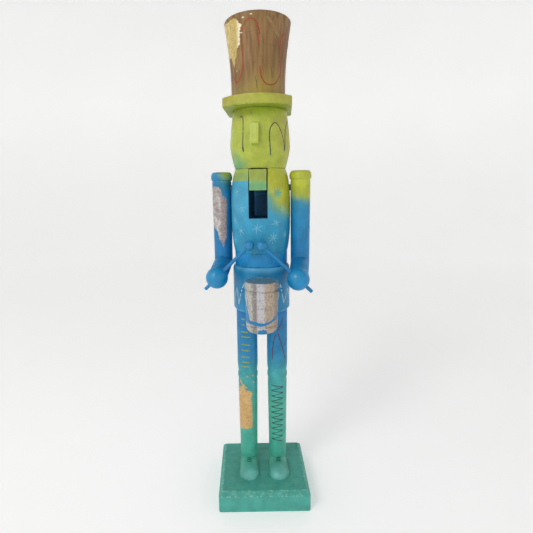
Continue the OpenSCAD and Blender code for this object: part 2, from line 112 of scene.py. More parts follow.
floor_paint, tree, shader, place = new_material("studio_floor_paint")
tint = ramp(tree, noise_at(tree, place, 2.5), 0.3, 0.7)
tree.links.new(mixed(tree, tint, (0.90, 0.90, 0.895, 1), (0.92, 0.92, 0.915, 1)), shader.inputs["Base Color"])
shader.inputs["Roughness"].default_value = 0.7
shader.inputs["Emission Color"].default_value = (1, 1, 1, 1)
shader.inputs["Emission Strength"].default_value = 0.27
floor_mesh.materials.append(floor_paint)

world = bpy.data.worlds.new("studio_air")
world.use_nodes = True
world.node_tree.nodes["Background"].inputs["Color"].default_value = (1.0, 1.0, 1.0, 1)
world.node_tree.nodes["Background"].inputs["Strength"].default_value = 0.26
bpy.context.scene.world = world
bpy.context.scene.view_settings.view_transform = "Standard"


def soft_lamp(name, position, target, width, power, tint):
    lamp = bpy.data.lights.new(name, "AREA")
    lamp.shape = "DISK"
    lamp.size = width
    lamp.energy = power
    lamp.color = tint
    holder = bpy.data.objects.new(name, lamp)
    holder.location = position
    holder.rotation_euler = (Vector(target) - Vector(position)).to_track_quat("-Z", "Y").to_euler()
    bpy.context.scene.collection.objects.link(holder)


soft_lamp("window_lamp", (-0.95, -1.15, 1.45), (0, 0, 0.3), 0.7, 10.5, (1.0, 0.99, 0.97))
soft_lamp("fill_lamp", (1.3, -0.9, 0.8), (0, 0, 0.3), 1.0, 0.4, (0.97, 0.98, 1.0))

eye = Vector((-16.2, -527.1, 408.8)) * mm
look_down = radians(10.0)
head_tilt = radians(0.94)
ahead = Vector((0, cos(look_down), -sin(look_down)))
upward = Vector((0, sin(look_down), cos(look_down)))
right = Vector((1, 0, 0)) * cos(head_tilt) - upward * sin(head_tilt)
above = Vector((1, 0, 0)) * sin(head_tilt) + upward * cos(head_tilt)
lens = bpy.data.cameras.new("camera")
lens.lens = 27.6
lens.sensor_width = 36.0
lens.shift_x = 0.0337
camera = bpy.data.objects.new("camera", lens)
camera.matrix_world = Matrix.Translation(eye) @ Matrix((right, above, -ahead)).transposed().to_4x4()
bpy.context.scene.collection.objects.link(camera)
bpy.context.scene.camera = camera

# ---- Base block ----
# A sawn softwood block with a 45 degree bevel round its top edge, sprayed teal-green all over and
# rubbed pale along the edges. Two counterbored holes underneath take the leg screws.


def colour(red, green, blue):
    """A paint chart colour, 0 to 255, as the linear colour that a shader takes."""
    return tuple((c / 255) ** 2.2 for c in (red, green, blue)) + (1,)


def eased(bm, radius, steps=2, over=30):
    """Rounds every edge sharper than over degrees, and marks the rounded faces as places that wear."""
    worn = bm.loops.layers.float.get("worn") or bm.loops.layers.float.new("worn")
    sharp = [e for e in bm.edges if e.is_manifold and e.calc_face_angle() > radians(over)]
    made = bmesh.ops.bevel(
        bm, geom=sharp, offset=radius, segments=steps, profile=0.5, affect="EDGES", material=-1,
        clamp_overlap=True
    )
    for face in made["faces"]:
        for corner in face.loops:
            corner[worn] = 1.0
    return bm


def block(size, middle):
    """A block of wood of the given size, as it comes from the saw."""
    bm = bmesh.new()
    bmesh.ops.create_cube(bm, size=1.0)
    bmesh.ops.scale(bm, verts=bm.verts, vec=size)
    bmesh.ops.translate(bm, verts=bm.verts, vec=middle)
    return bm


def sawn(bm, spot, way):
    """Saws off all that lies beyond a flat cut through the spot, and gives back the cut's own faces."""
    bmesh.ops.bisect_plane(
        bm, geom=bm.verts[:] + bm.edges[:] + bm.faces[:], plane_co=spot, plane_no=way, clear_outer=True
    )
    return bmesh.ops.holes_fill(bm, edges=[e for e in bm.edges if e.is_boundary], sides=0)["faces"]


def carved(bm, tool):
    """The first shape after the second has been cut out of it."""
    shapes = []
    for name, shape in (("blank", bm), ("tool", tool)):
        mesh = bpy.data.meshes.new(name)
        shape.to_mesh(mesh)
        shape.free()
        shapes.append(bpy.data.objects.new(name, mesh))
        bpy.context.scene.collection.objects.link(shapes[-1])
    blank, cutter = shapes
    cut = blank.modifiers.new("cut", "BOOLEAN")
    cut.operation = "DIFFERENCE"
    cut.object = cutter
    cut.solver = "EXACT"
    left = bmesh.new()
    left.from_mesh(blank.evaluated_get(bpy.context.evaluated_depsgraph_get()).to_mesh())
    for shape in shapes:
        bpy.data.objects.remove(shape)
    bmesh.ops.remove_doubles(left, verts=left.verts, dist=1e-6)
    return left


def finished(name, bm, materials, body, stands_for=(), smooth_under=40):
    """Makes the object of a piece: shaded smooth but for its edges, riding on its body."""
    bmesh.ops.recalc_face_normals(bm, faces=bm.faces)
    mesh = bpy.data.meshes.new(name)
    bm.to_mesh(mesh)
    bm.free()
    mesh.shade_smooth()
    mesh.set_sharp_from_angle(angle=radians(smooth_under))
    for material in materials:
        mesh.materials.append(material)
    piece = bpy.data.objects.new(name, mesh)
    bpy.context.scene.collection.objects.link(piece)
    shading = piece.modifiers.new("even_shading", "WEIGHTED_NORMAL")
    shading.keep_sharp = True
    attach(piece, body)
    if stands_for:
        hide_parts(*stands_for)
    return piece


def burst(tree, place, centre, radius, soft):
    """Mask of one burst of spray: full inside radius, then a mist that thins out over twice soft."""
    far = put(tree, "VectorMath", {0: place, 1: centre}, operation="DISTANCE").outputs["Value"]
    drift = calc(tree, "MULTIPLY", calc(tree, "SUBTRACT", noise_at(tree, place, 50, 3), 0.5), 14 * mm)
    speck = calc(tree, "MULTIPLY", calc(tree, "SUBTRACT", noise_at(tree, place, 1500, 2), 0.5), soft * 0.9)
    edge = calc(tree, "ADD", calc(tree, "ADD", far, drift), speck)
    return ramp(tree, edge, radius + soft, radius - soft)


def coated(tree, shader, shade, rough, relief, strength, depth):
    """Gives a surface its colour, its roughness and a relief of so much depth."""
    bump = put(tree, "Bump", {"Height": relief, "Strength": strength, "Distance": depth})
    tree.links.new(shade, shader.inputs["Base Color"])
    tree.links.new(rough, shader.inputs["Roughness"])
    tree.links.new(bump.outputs[0], shader.inputs["Normal"])


def sprayed(name, first, levels=(), bursts=(), point=Vector(), rubbed=(200, 205, 180), wear=0.5,
            grain=(1, 1, 0.05), gloss=0.5):
    """Sprayed wood. Up from the first colour come levels of (start, end, colour) in height, then bursts
    of (centre, radius, soft, colour, strength), in millimetres from the point. Rounded edges wear
    through to the rubbed colour."""
    material, tree, shader, place = new_material(name)
    height = put(tree, "SeparateXYZ", {0: place}).outputs[2]
    drift = calc(tree, "SUBTRACT", noise_at(tree, place, 40, 3), 0.5)
    shade = colour(*first)
    for start, end, paint in levels:
        level = calc(tree, "ADD", height, calc(tree, "MULTIPLY", drift, min(16, (end - start) * 0.8) * mm))
        shade = mixed(tree, ramp(tree, level, point.z + start * mm, point.z + end * mm), shade,
                      colour(*paint))
    for centre, radius, soft, paint, strength in bursts:
        mist = burst(tree, place, point + Vector(centre) * mm, radius * mm, soft * mm)
        shade = mixed(tree, calc(tree, "MULTIPLY", mist, strength), shade, colour(*paint))
    clouds = ramp(tree, noise_at(tree, place, 75, 5), 0.3, 0.72, 0.86, 1.1)
    shade = mixed(tree, 1.0, shade, clouds, "MULTIPLY")
    fibres = noise_at(tree, place, 1100, 5, grain)
    shade = mixed(tree, 1.0, shade, ramp(tree, fibres, 0.3, 0.7, 0.93, 1.05), "MULTIPLY")
    dust = ramp(tree, noise_at(tree, place, 900, 2), 0.70, 0.76, 0.0, 0.35)
    shade = mixed(tree, dust, shade, colour(*rubbed))
    edge = put(tree, "Attribute", attribute_name="worn").outputs["Fac"]
    chips = ramp(tree, noise_at(tree, place, 260, 5), 0.62 - 0.3 * wear, 0.70 - 0.3 * wear)
    worn = calc(tree, "MULTIPLY", calc(tree, "MULTIPLY", edge, chips), 0.75)
    shade = mixed(tree, worn, shade, colour(*rubbed))
    rough = ramp(tree, noise_at(tree, place, 120, 4), 0.3, 0.7, gloss - 0.08, gloss + 0.12)
    relief = calc(tree, "ADD", fibres, calc(tree, "MULTIPLY", noise_at(tree, place, 420, 4), 0.8))
    coated(tree, shader, shade, rough, relief, 0.55, 0.12 * mm)
    return material


base_corner, base_bevel, base_edge = 3 * mm, 5 * mm, 0.7 * mm
base_low, base_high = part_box("base_plate")
base_top = base_high.z
leg_axes = {"left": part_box("left_leg"), "right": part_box("right_leg")}
leg_axes = {side: (low + high) / 2 for side, (low, high) in leg_axes.items()}
screw_head_r, screw_head_h, screw_r = 4.7 * mm, 4.5 * mm, 2.2 * mm
base = block(base_high - base_low, (base_low + base_high) / 2)
holes = bmesh.new()
for axis in leg_axes.values():
    for hole_r, hole_top in ((screw_head_r, screw_head_h), (screw_r, base_top - mm)):
        made = bmesh.ops.create_cone(
            holes, cap_ends=True, segments=48, radius1=hole_r, radius2=hole_r, depth=hole_top + mm
        )
        bmesh.ops.translate(holes, verts=made["verts"], vec=(axis.x, axis.y, (hole_top - mm) / 2))
base = carved(base, holes)
rim_x, rim_y = base_high.x - 0.1 * mm, base_high.y - 0.1 * mm
in_corner = [e for e in base.edges if all(abs(v.co.x) > rim_x and abs(v.co.y) > rim_y for v in e.verts)]
upright = [e for e in in_corner if abs(e.verts[0].co.z - e.verts[1].co.z) > mm]
bmesh.ops.bevel(base, geom=upright, offset=base_corner, segments=5, profile=0.5, affect="EDGES", material=-1)
worn = base.loops.layers.float.new("worn")
for way in ((1, 0), (0, 1), (-1, 0), (0, -1)):
    edge = Vector((way[0] * (base_high.x - base_bevel), way[1] * (base_high.y - base_bevel), base_top))
    for face in sawn(base, edge, (way[0], way[1], 1)):
        for corner in face.loops:
            corner[worn] = 0.4
eased(base, base_edge, over=25)
base_paint = sprayed(
    "teal_green_on_wood", (72, 164, 150), levels=[(-2, 6, (70, 145, 122))], point=Vector((0, 0, base_top)),
    rubbed=(140, 194, 170), wear=0.35, grain=(0.05, 1, 1), gloss=0.55
)
finished("base_block", base, [base_paint], "figure", ["base_plate"])

# ---- Legs ----
# Two turned softwood legs, each one piece from ankle to thigh, with a bead between two grooves at
# the knee and a tenon into the skirt. The coat's blue spray thins out into the boots' teal.


def turned(outline, axis, steps=112):
    """Turns (radius, height) points, from the middle of the foot to the middle of the top, into a solid."""
    bm = bmesh.new()
    points = [bm.verts.new((r, 0, z)) for r, z in outline]
    lines = [bm.edges.new(pair) for pair in zip(points, points[1:])]
    bmesh.ops.spin(bm, geom=points + lines, cent=(0, 0, 0), axis=(0, 0, 1), angle=tau, steps=steps,
                   use_merge=True)
    bmesh.ops.remove_doubles(bm, verts=bm.verts, dist=1e-6)
    bmesh.ops.recalc_face_normals(bm, faces=bm.faces)
    bmesh.ops.translate(bm, verts=bm.verts, vec=axis)
    return bm


def arc(centre_r, centre_z, radius_r, radius_z, start, end, steps):
    """Points on an oval round the given centre, from start to end in degrees."""
    angles = [radians(start + (end - start) * i / steps) for i in range(steps + 1)]
    return [(centre_r + radius_r * cos(a), centre_z + radius_z * sin(a)) for a in angles]


knee_h, bead_r, thigh_r, ankle_r, boot_r = 135 * mm, 13.8 * mm, 14 * mm, 11.9 * mm, 13.3 * mm
groove_r, half_bead, tenon_r, tenon_h = bead_r - 0.8 * mm, 4.3 * mm, 6 * mm, 18 * mm
skirt_low, skirt_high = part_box("skirt")
leg_h = skirt_low.z - base_top
leg_outline = [(0, 0), (ankle_r, 0), (boot_r, knee_h - 10.8 * mm), (groove_r, knee_h - half_bead - 1.6 * mm)]
leg_outline += arc(groove_r, knee_h, bead_r - groove_r, half_bead, -90, 90, 12)
leg_outline += [(groove_r, knee_h + half_bead + 0.8 * mm)]
for a in range(10, 91, 10):
    swell = (thigh_r - groove_r) * sin(radians(a))
    leg_outline.append((groove_r + swell, knee_h + 5 * mm + 15 * mm * a / 90))
leg_outline += [(thigh_r, leg_h), (tenon_r, leg_h), (tenon_r, leg_h + tenon_h), (0, leg_h + tenon_h)]

leg_paint = sprayed(
    "blue_over_teal_leg", (72, 172, 150),
    levels=[
        (90, 128, (62, 158, 158)),
        (128, 175, (28, 124, 172)),
        (185, 222, (24, 118, 176)),
    ],
    point=Vector((0, 0, base_top)), rubbed=(120, 190, 190), wear=0.45, gloss=0.45
)


def leg_place(side):
    return Vector((leg_axes[side].x, leg_axes[side].y, base_top))


for side in ("left", "right"):
    leg = eased(turned(leg_outline, leg_place(side)), 0.5 * mm, over=38)
    finished(side + "_leg_turning", leg, [leg_paint], "figure", [side + "_leg"])

# ---- Pen marks on the legs ----
# Drawn by hand with paint pens after spraying: a long zigzag down the left boot, three dark red
# lines on the left thigh, and a ladder of yellow-green ticks on the right thigh.


def skin(outline, axis):
    """Gives where an angle and a height lie on a turned piece. Angle 0 faces ahead, and it grows
    towards the figure's left."""
    def at(angle, height, lift=0.0):
        for (r0, z0), (r1, z1) in zip(outline, outline[1:]):
            if z0 <= height <= z1 and z1 > z0:
                radius = r0 + (r1 - r0) * (height - z0) / (z1 - z0)
                break
        else:
            radius = outline[-2][0]
        a = radians(angle)
        return axis + Vector(((radius + lift) * sin(a), -(radius + lift) * cos(a), height))
    return at


def eased_path(points, steps):
    """A smooth line through every one of the points."""
    points = [Vector(p) for p in points]
    ends = [points[0] * 2 - points[1], *points, points[-1] * 2 - points[-2]]
    path = []
    for a, b, c, d in zip(ends, ends[1:], ends[2:], ends[3:]):
        for t in (i / steps for i in range(steps)):
            swing, bend = 2 * a - 5 * b + 4 * c - d, 3 * b - a - 3 * c + d
            path.append(0.5 * (2 * b + (c - a) * t + swing * t**2 + bend * t**3))
    return path + [points[-1]]


def pen_line(bm, surface, points, width, thick=0.22 * mm, steps=7):
    """Lays one bead of pen paint on a surface, through (angle in degrees, height in millimetres) points."""
    path = eased_path(points, steps)
    spots = [surface(a, h * mm) for a, h in path]
    last, ring_before = len(spots) - 1, None
    for i, (spot, (a, h)) in enumerate(zip(spots, path)):
        along = (spots[min(i + 1, last)] - spots[max(i - 1, 0)]).normalized()
        outward = (surface(a, h * mm, mm) - spot).normalized()
        across = along.cross(outward).normalized()
        tip = min(1.0, 0.35 + 0.45 * min(i, last - i))
        wide = width / 2 * tip * (1 + 0.35 * noise.noise(spot * 900))
        ring = bmesh.ops.create_circle(bm, segments=8, radius=mm)["verts"]
        for k, corner in enumerate(ring):
            turn = tau * k / 8
            corner.co = spot + across * wide * cos(turn) + outward * thick * tip * sin(turn)
        edges = list({e for corner in ring for e in corner.link_edges})
        if ring_before:
            bmesh.ops.bridge_loops(bm, edges=ring_before + edges)
        ring_before = edges
    bmesh.ops.holes_fill(bm, edges=[e for e in bm.edges if e.is_boundary], sides=8)


def pen_paint(name, ink, thin):
    """Acrylic pen paint: nearly even, a little glossy, with a second colour where it lies thin."""
    material, tree, shader, place = new_material(name)
    shade = mixed(tree, ramp(tree, noise_at(tree, place, 420, 4), 0.35, 0.7), colour(*ink), colour(*thin))
    rough = ramp(tree, noise_at(tree, place, 700, 2), 0.3, 0.7, 0.35, 0.5)
    coated(tree, shader, shade, rough, noise_at(tree, place, 1500, 3), 0.4, 0.08 * mm)
    return material


left_leg_skin = skin(leg_outline[1:-3], leg_place("left"))
right_leg_skin = skin(leg_outline[1:-3], leg_place("right"))
navy_ink = pen_paint("navy_pen", (22, 42, 62), (38, 66, 82))
zigzag = bmesh.new()
strokes, stroke_rise = 22, 4.1
laces = []
for i in range(strokes):
    if i % 2 == 0:
        laces.append((-44 + 3 * noise.noise((i, 0, 0)), 121 - i * stroke_rise))
    else:
        laces.append((36 + 4 * noise.noise((i, 5, 0)), 122.5 - i * stroke_rise))
for start, end in zip(laces, laces[1:]):
    halfway = ((start[0] + end[0]) / 2, (start[1] + end[1]) / 2 + 0.5)
    pen_line(zigzag, left_leg_skin, [start, halfway, end], 1.1 * mm)
finished("boot_zigzag", zigzag, [navy_ink], "figure")

thigh_lines = bmesh.new()
for points in (
    [(30, 219), (22, 212), (10, 206), (-1, 199)],
    [(-8, 197), (-20, 188), (-28, 176), (-31, 166), (-32, 158)],
    [(0, 198), (10, 190), (19, 182), (34, 170), (50, 157)],
):
    pen_line(thigh_lines, left_leg_skin, points, 1.3 * mm)
finished("thigh_lines", thigh_lines, [pen_paint("dark_red_pen", (92, 40, 58), (60, 62, 84))], "figure")

ticks = bmesh.new()
tick_ends = [
    (-33, -12), (-33, -12), (-35, 4), (-35, 18), (-35, 16), (-36, 14), (-37, 14), (-38, 12), (-39, 10),
]
for (start, end), height in zip(tick_ends, (217, 209, 199, 192, 181, 173, 163.5, 156, 149.5)):
    points = [(start, height + 0.5), ((start + end) / 2, height), (end, height - 0.4)]
    pen_line(ticks, right_leg_skin, points, 1.6 * mm)
finished("thigh_ticks", ticks, [pen_paint("yellow_green_pen", (150, 158, 42), (122, 146, 58))], "figure")

# ---- Copper leaf on the right boot ----
# A torn sheet of copper leaf pressed on the boot's front, with loose flecks above it. Leaf is
# thinner than the paint, so it shows every crease.


def inside(x, y, corners):
    """Whether a point lies inside an outline of corners."""
    crossings = 0
    for (x0, y0), (x1, y1) in zip(corners, corners[1:] + corners[:1]):
        if (y0 > y) != (y1 > y) and x < x0 + (x1 - x0) * (y - y0) / (y1 - y0):
            crossings += 1
    return crossings % 2 == 1


def leaf_sheet(bm, surface, outline, radius, spacing=0.55 * mm, lift=0.12 * mm, crease=0.2 * mm, torn=1.4,
               seed=0):
    """Lays leaf inside an outline of (angle in degrees, height in millimetres), torn at its edges and
    creased."""
    arc_mm = radians(1) * radius / mm
    corners = [(a * arc_mm, h) for a, h in outline]
    low_x, high_x = min(x for x, y in corners), max(x for x, y in corners)
    low_y, high_y = min(y for x, y in corners), max(y for x, y in corners)
    sheet = bmesh.new()
    columns = max(2, int((high_x - low_x) * mm / spacing))
    rows = max(2, int((high_y - low_y) * mm / spacing))
    bmesh.ops.create_grid(sheet, x_segments=columns, y_segments=rows, size=0.5)
    for v in sheet.verts:
        v.co = (low_x + (v.co.x + 0.5) * (high_x - low_x), low_y + (v.co.y + 0.5) * (high_y - low_y), 0)
    cut = []
    for face in sheet.faces:
        x, y, _ = face.calc_center_median()
        shift = noise.noise_vector((x * 0.45, y * 0.45, seed)) * torn
        shift += noise.noise_vector((x * 1.7, y * 1.7, seed)) * torn * 0.4
        if not inside(x + shift.x, y + shift.y, corners):
            cut.append(face)
    bmesh.ops.delete(sheet, geom=cut, context="FACES")
    edge = [v for v in sheet.verts if v.is_boundary]
    bmesh.ops.smooth_vert(sheet, verts=edge, factor=0.5, use_axis_x=True, use_axis_y=True)
    for v in sheet.verts:
        x, y = v.co.x, v.co.y
        fold = abs(noise.noise((x * 0.55, y * 0.5, seed + 3)))
        fold += 0.5 * abs(noise.noise((x * 1.3, y * 1.1, seed + 7)))
        v.co = surface(x / arc_mm, y * mm, lift + crease * fold)
    bmesh.ops.recalc_face_normals(sheet, faces=sheet.faces)
    bmesh.ops.solidify(sheet, geom=list(sheet.faces), thickness=0.1 * mm)
    flat = bpy.data.meshes.new("leaf_sheet")
    sheet.to_mesh(flat)
    sheet.free()
    bm.from_mesh(flat)
    bpy.data.meshes.remove(flat)


def leaf_metal(name, bright, dull, warm, crinkle=1.0, metal=0.75, reflection_bands=()):
    """Beaten leaf: metallic and creased, with warmer and duller stains and painted glints along the creases.
    Bands of (start, end, colour) lie side by side in x: painted reflections of a curved sheet."""
    material, tree, shader, place = new_material(name)
    ridges = put(tree, "TexVoronoi", {"Vector": place, "Scale": 300.0},
                 feature="DISTANCE_TO_EDGE").outputs["Distance"]
    broad = noise_at(tree, place, 130, 6)
    fine = noise_at(tree, place, 380, 6)
    shade = mixed(tree, ramp(tree, broad, 0.35, 0.65), colour(*bright), colour(*warm))
    across = put(tree, "SeparateXYZ", {0: place}).outputs[0]
    ragged = calc(tree, "ADD", across, calc(tree, "MULTIPLY", calc(tree, "SUBTRACT", fine, 0.5), 3 * mm))
    # Painted reflections: light and dark stripes fixed across x, as a curved sheet of metal mirrors them.
    for start, end, paint in reflection_bands:
        shade = mixed(tree, ramp(tree, ragged, start, end), shade, colour(*paint))
    folds = noise_at(tree, place, 260, 4, (1, 1, 2.6))
    shade = mixed(tree, calc(tree, "MULTIPLY", ramp(tree, fine, 0.42, 0.72), 0.55), shade, colour(*dull))
    # Painted glints: the bright colour laid along the creases.
    shade = mixed(tree, calc(tree, "MULTIPLY", ramp(tree, folds, 0.56, 0.66), 0.5), shade, colour(*bright))
    shader.inputs["Metallic"].default_value = metal
    rough = ramp(tree, fine, 0.3, 0.7, 0.26, 0.5)
    relief = calc(tree, "ADD", calc(tree, "MULTIPLY", ridges, 0.8), calc(tree, "ADD", folds, broad))
    coated(tree, shader, shade, rough, relief, 0.7 * crinkle, 0.45 * mm)
    return material


# One fixed draw, so that every sheet of leaf tears in the same way each time.
noise.seed_set(1)
copper = bmesh.new()
boot_patch = [
    (-88, 112), (-60, 119), (-34, 121), (-20, 117), (-4, 115), (26, 112), (20, 100), (24, 84), (25, 69),
    (22, 58), (-20, 56), (-64, 54), (-90, 58), (-84, 84),
]
leaf_sheet(copper, right_leg_skin, boot_patch, boot_r, seed=1)
loose_patch = [(-60, 128), (-50, 129), (-20, 122), (-2, 119), (-8, 117), (-40, 122)]
leaf_sheet(copper, right_leg_skin, loose_patch, boot_r, torn=0.8, seed=2)
for angle, height in ((35, 126), (-3, 135), (28, 136)):
    fleck = [(angle - 5, height - 1.2), (angle + 6, height - 0.6), (angle + 3, height + 1.4),
             (angle - 4, height + 0.9)]
    leaf_sheet(copper, right_leg_skin, fleck, boot_r, spacing=0.3 * mm, torn=0.4, seed=angle)
copper_leaf = leaf_metal("copper_leaf", (214, 178, 124), (172, 132, 86), (202, 164, 104), metal=0.5)
finished("boot_copper_leaf", copper, [copper_leaf], "figure")

# ---- Shoes ----
# Two rounded wooden shoes, sawn flat underneath and fitted round the ankles. Teal paint, bluer on
# the toes, with three pen dashes across each instep for laces.


def shoe_blank(axis, half_w, toe, back, toe_h, heel_h, heel_r):
    """A low dome over the toe run into a higher one at the ankle, cut flat underneath and at the back."""
    bm = bmesh.new()
    for forward, radius, height in ((toe - half_w, half_w, toe_h), (3 * mm, heel_r, heel_h)):
        made = bmesh.ops.create_uvsphere(bm, u_segments=72, v_segments=36, radius=1.0)
        bmesh.ops.scale(bm, verts=made["verts"], vec=(radius, radius, height))
        bmesh.ops.translate(bm, verts=made["verts"], vec=(0, -forward, 0))
    hull = bmesh.ops.convex_hull(bm, input=bm.verts)
    outer = set(hull["geom"])
    bmesh.ops.delete(bm, geom=[f for f in bm.faces if f not in outer], context="FACES")
    bmesh.ops.delete(bm, geom=[v for v in bm.verts if not v.link_faces], context="VERTS")
    sawn(bm, Vector(), (0, 0, -1))
    sawn(bm, Vector((0, back, 0)), (0, 1, 0))
    bmesh.ops.translate(bm, verts=bm.verts, vec=axis)
    return eased(bm, 0.7 * mm, over=50)


def instep(shoe, axis):
    """Gives where a place (sideways in millimetres, back in metres) lies on the top of a shoe."""
    upper = BVHTree.FromBMesh(shoe)

    def at(across, back, lift=0.0):
        hit = upper.ray_cast(axis + Vector((across * mm, back, 40 * mm)), Vector((0, 0, -1)))[0]
        return hit + Vector((0, -0.4, 0.9)) * lift
    return at


toes = [leg_place(side) / mm + Vector((0, -44, 8)) for side in ("left", "right")]
shoe_paint = sprayed(
    "teal_shoe_paint", (70, 160, 138), bursts=[(toe, 14, 12, (108, 186, 178), 0.9) for toe in toes],
    rubbed=(170, 212, 196), wear=0.6, gloss=0.42
)
toe_h, heel_h, heel_r = 10 * mm, 14 * mm, 13.1 * mm
black_ink = pen_paint("black_pen", (24, 30, 32), (20, 25, 26))

for side in ("left", "right"):
    shoe_low, shoe_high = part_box(side + "_shoe")
    axis = leg_place(side)
    half_w, toe, back = (shoe_high.x - shoe_low.x) / 2, axis.y - shoe_low.y, shoe_high.y - axis.y
    shoe = shoe_blank(axis, half_w, toe, back, toe_h, heel_h, heel_r)
    shoe_top = instep(shoe, axis)
    dashes = bmesh.new()
    lean = 0.8 if side == "left" else -0.8
    for i, row in enumerate((-14.5, -17.5, -20.5)):
        reach = 3 + 0.4 * i
        pen_line(dashes, shoe_top, [(-reach, row - lean), (0, row), (reach, row + lean)], 1.2 * mm)
    finished(side + "_lace_marks", dashes, [black_ink], "figure")
    finished(side + "_shoe_block", shoe, [shoe_paint], "figure", [side + "_shoe"])

# ---- Skirt and waist ----
# The coat's skirt is a turned drum with a bevelled lower edge and a rounded shoulder. A thinner
# turned disc, the waist, sits on it. Both are glued on one dowel and sprayed bright blue.
skirt_r, skirt_h, bevel_h = (skirt_high.x - skirt_low.x) / 2, skirt_high.z - skirt_low.z, 4 * mm
figure_axis = (skirt_low + skirt_high) / 2
skirt_foot = Vector((figure_axis.x, figure_axis.y, skirt_low.z))
shoulder_r, shoulder_h = 35.3 * mm, 7 * mm
skirt_outline = [(0, 0), (skirt_r - bevel_h, 0), (skirt_r, bevel_h)]
skirt_outline += arc(shoulder_r, skirt_h - shoulder_h, skirt_r - shoulder_r, shoulder_h, 0, 82, 10)
skirt_outline += [(shoulder_r - 0.4 * mm, skirt_h), (0, skirt_h)]
# The top few millimetres, over the rounded shoulder, turn a lighter blue: a painted highlight where the
# shoulder faces up to the light.
skirt_paint = sprayed(
    "coat_blue_with_painted_highlight", (22, 130, 178), levels=[(-9, -1, (74, 158, 200))], point=skirt_high,
    rubbed=(100, 176, 208), wear=0.3, gloss=0.42
)
skirt = eased(turned(skirt_outline, skirt_foot), 0.6 * mm, over=35)
finished("skirt_turning", skirt, [skirt_paint], "figure", ["skirt"])

waist_low, waist_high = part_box("waist")
waist_r, waist_h = (waist_high.x - waist_low.x) / 2, waist_high.z - waist_low.z
waist_outline = [(0, 0), (waist_r, 0), (waist_r, waist_h), (0, waist_h)]
waist = eased(turned(waist_outline, Vector((figure_axis.x, figure_axis.y, waist_low.z))), 0.9 * mm, steps=3)
waist_paint = sprayed("waist_blue", (16, 136, 196), rubbed=(96, 176, 208), wear=0.3, gloss=0.42)
finished("waist_disc", waist, [waist_paint], "figure", ["waist"])

skirt_skin = skin(skirt_outline[1:-1], skirt_foot)
zigzags = bmesh.new()
for points in (
    [(-82, 16), (-76, 9), (-71, 21), (-60, 33), (-57, 20), (-55, 11), (-50, 22), (-45, 33), (-38, 40)],
    [(31, 18), (34, 30), (38, 39), (43, 25), (47, 13), (55, 22), (63, 31), (72, 20), (82, 9)],
    [(100, 12), (112, 34), (124, 11), (136, 35), (148, 12), (158, 33)],
    [(-158, 32), (-148, 12), (-136, 34), (-124, 12), (-112, 35), (-100, 14)],
):
    for start, end in zip(points, points[1:]):
        halfway = ((start[0] + end[0]) / 2 + 0.6, (start[1] + end[1]) / 2)
        pen_line(zigzags, skirt_skin, [start, halfway, end], 1.3 * mm)
cream_ink = pen_paint("cream_pen", (196, 208, 198), (128, 178, 194))
finished("skirt_zigzags", zigzags, [cream_ink], "figure")

# ---- Torso ----
# A barrel turned from one block, with the jaw slot sawn right through its upper half and glued on
# turned a little to the figure's right. Sky blue, with lime spray from above that was masked off
# along a level line on the right breast and misted down on the left.


def barrel(foot, belly, top, belly_h, height, low_power, high_power, steps=14):
    """The side of a turned barrel, widest at belly_h."""
    side = []
    for part in (i / steps for i in range(steps)):
        side.append((foot + (belly - foot) * (1 - (1 - part) ** low_power), belly_h * part))
    for part in (i / steps for i in range(steps + 1)):
        side.append((belly + (top - belly) * part**high_power, belly_h + (height - belly_h) * part))
    return side


torso_low, torso_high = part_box("torso")
torso_foot = Vector((figure_axis.x, figure_axis.y, torso_low.z))
torso_h, torso_r = torso_high.z - torso_low.z, (torso_high.x - torso_low.x) / 2
torso_side = barrel(34.3 * mm, torso_r, 32.3 * mm, 0.46 * torso_h, torso_h, 2.8, 3.6)
torso = eased(turned([(0, 0), *torso_side, (0, torso_h)], torso_foot, 144), 0.7 * mm, over=50)
torso_twist, slot_w, slot_depth = radians(-7), 23.4 * mm, 60.5 * mm
torso_turn = Matrix.Translation(torso_foot) @ Matrix.Rotation(torso_twist, 4, "Z")
slot_floor = torso_h - slot_depth
saw = block((slot_w, 4 * torso_r, 2 * slot_depth), (0, 0, torso_h))
bmesh.ops.transform(saw, matrix=torso_turn, verts=saw.verts)
torso = carved(torso, saw)
in_torso = torso_turn.inverted()
for face in torso.faces:
    spot = in_torso @ face.calc_center_median()
    turned_normal = in_torso.to_3x3() @ face.normal
    on_wall = abs(abs(spot.x) - slot_w / 2) < 0.05 * mm and abs(turned_normal.x) > 0.9
    on_floor = abs(spot.z - slot_floor) < 0.05 * mm and turned_normal.z > 0.9
    face.material_index = 1 if on_wall or on_floor else 0

torso_paint = sprayed(
    "sky_blue_and_lime", (38, 146, 186),
    levels=[
        (15, 75, (66, 156, 190)),
        (89.4, 90.8, (136, 164, 84)),
        (97, 105, (160, 180, 72)),
    ],
    bursts=[((46, -14, 96), 54, 9, (120, 168, 110), 0.85), ((48, -12, 100), 51, 7, (176, 180, 52), 1.0)],
    point=torso_foot, rubbed=(130, 180, 170), wear=0.15, gloss=0.42
)
# The slot's walls and floor get a darker blue: a thinner spray there, darkened further as painted shade of
# the recess.
slot_paint = sprayed(
    "thin_blue_and_painted_shade_in_slot", (22, 84, 120), levels=[(60, 100, (24, 82, 108))], point=torso_foot,
    rubbed=(70, 110, 120), wear=0.2, gloss=0.55
)
finished("torso_barrel", torso, [torso_paint, slot_paint], "figure", ["torso"])

# ---- Stars on the torso ----
# Small stars in pale pen, drawn by hand over the dry spray: two to four quick strokes that cross at a
# point. The one on the lime side is larger and blue.
torso_skin = skin(torso_side, torso_foot)


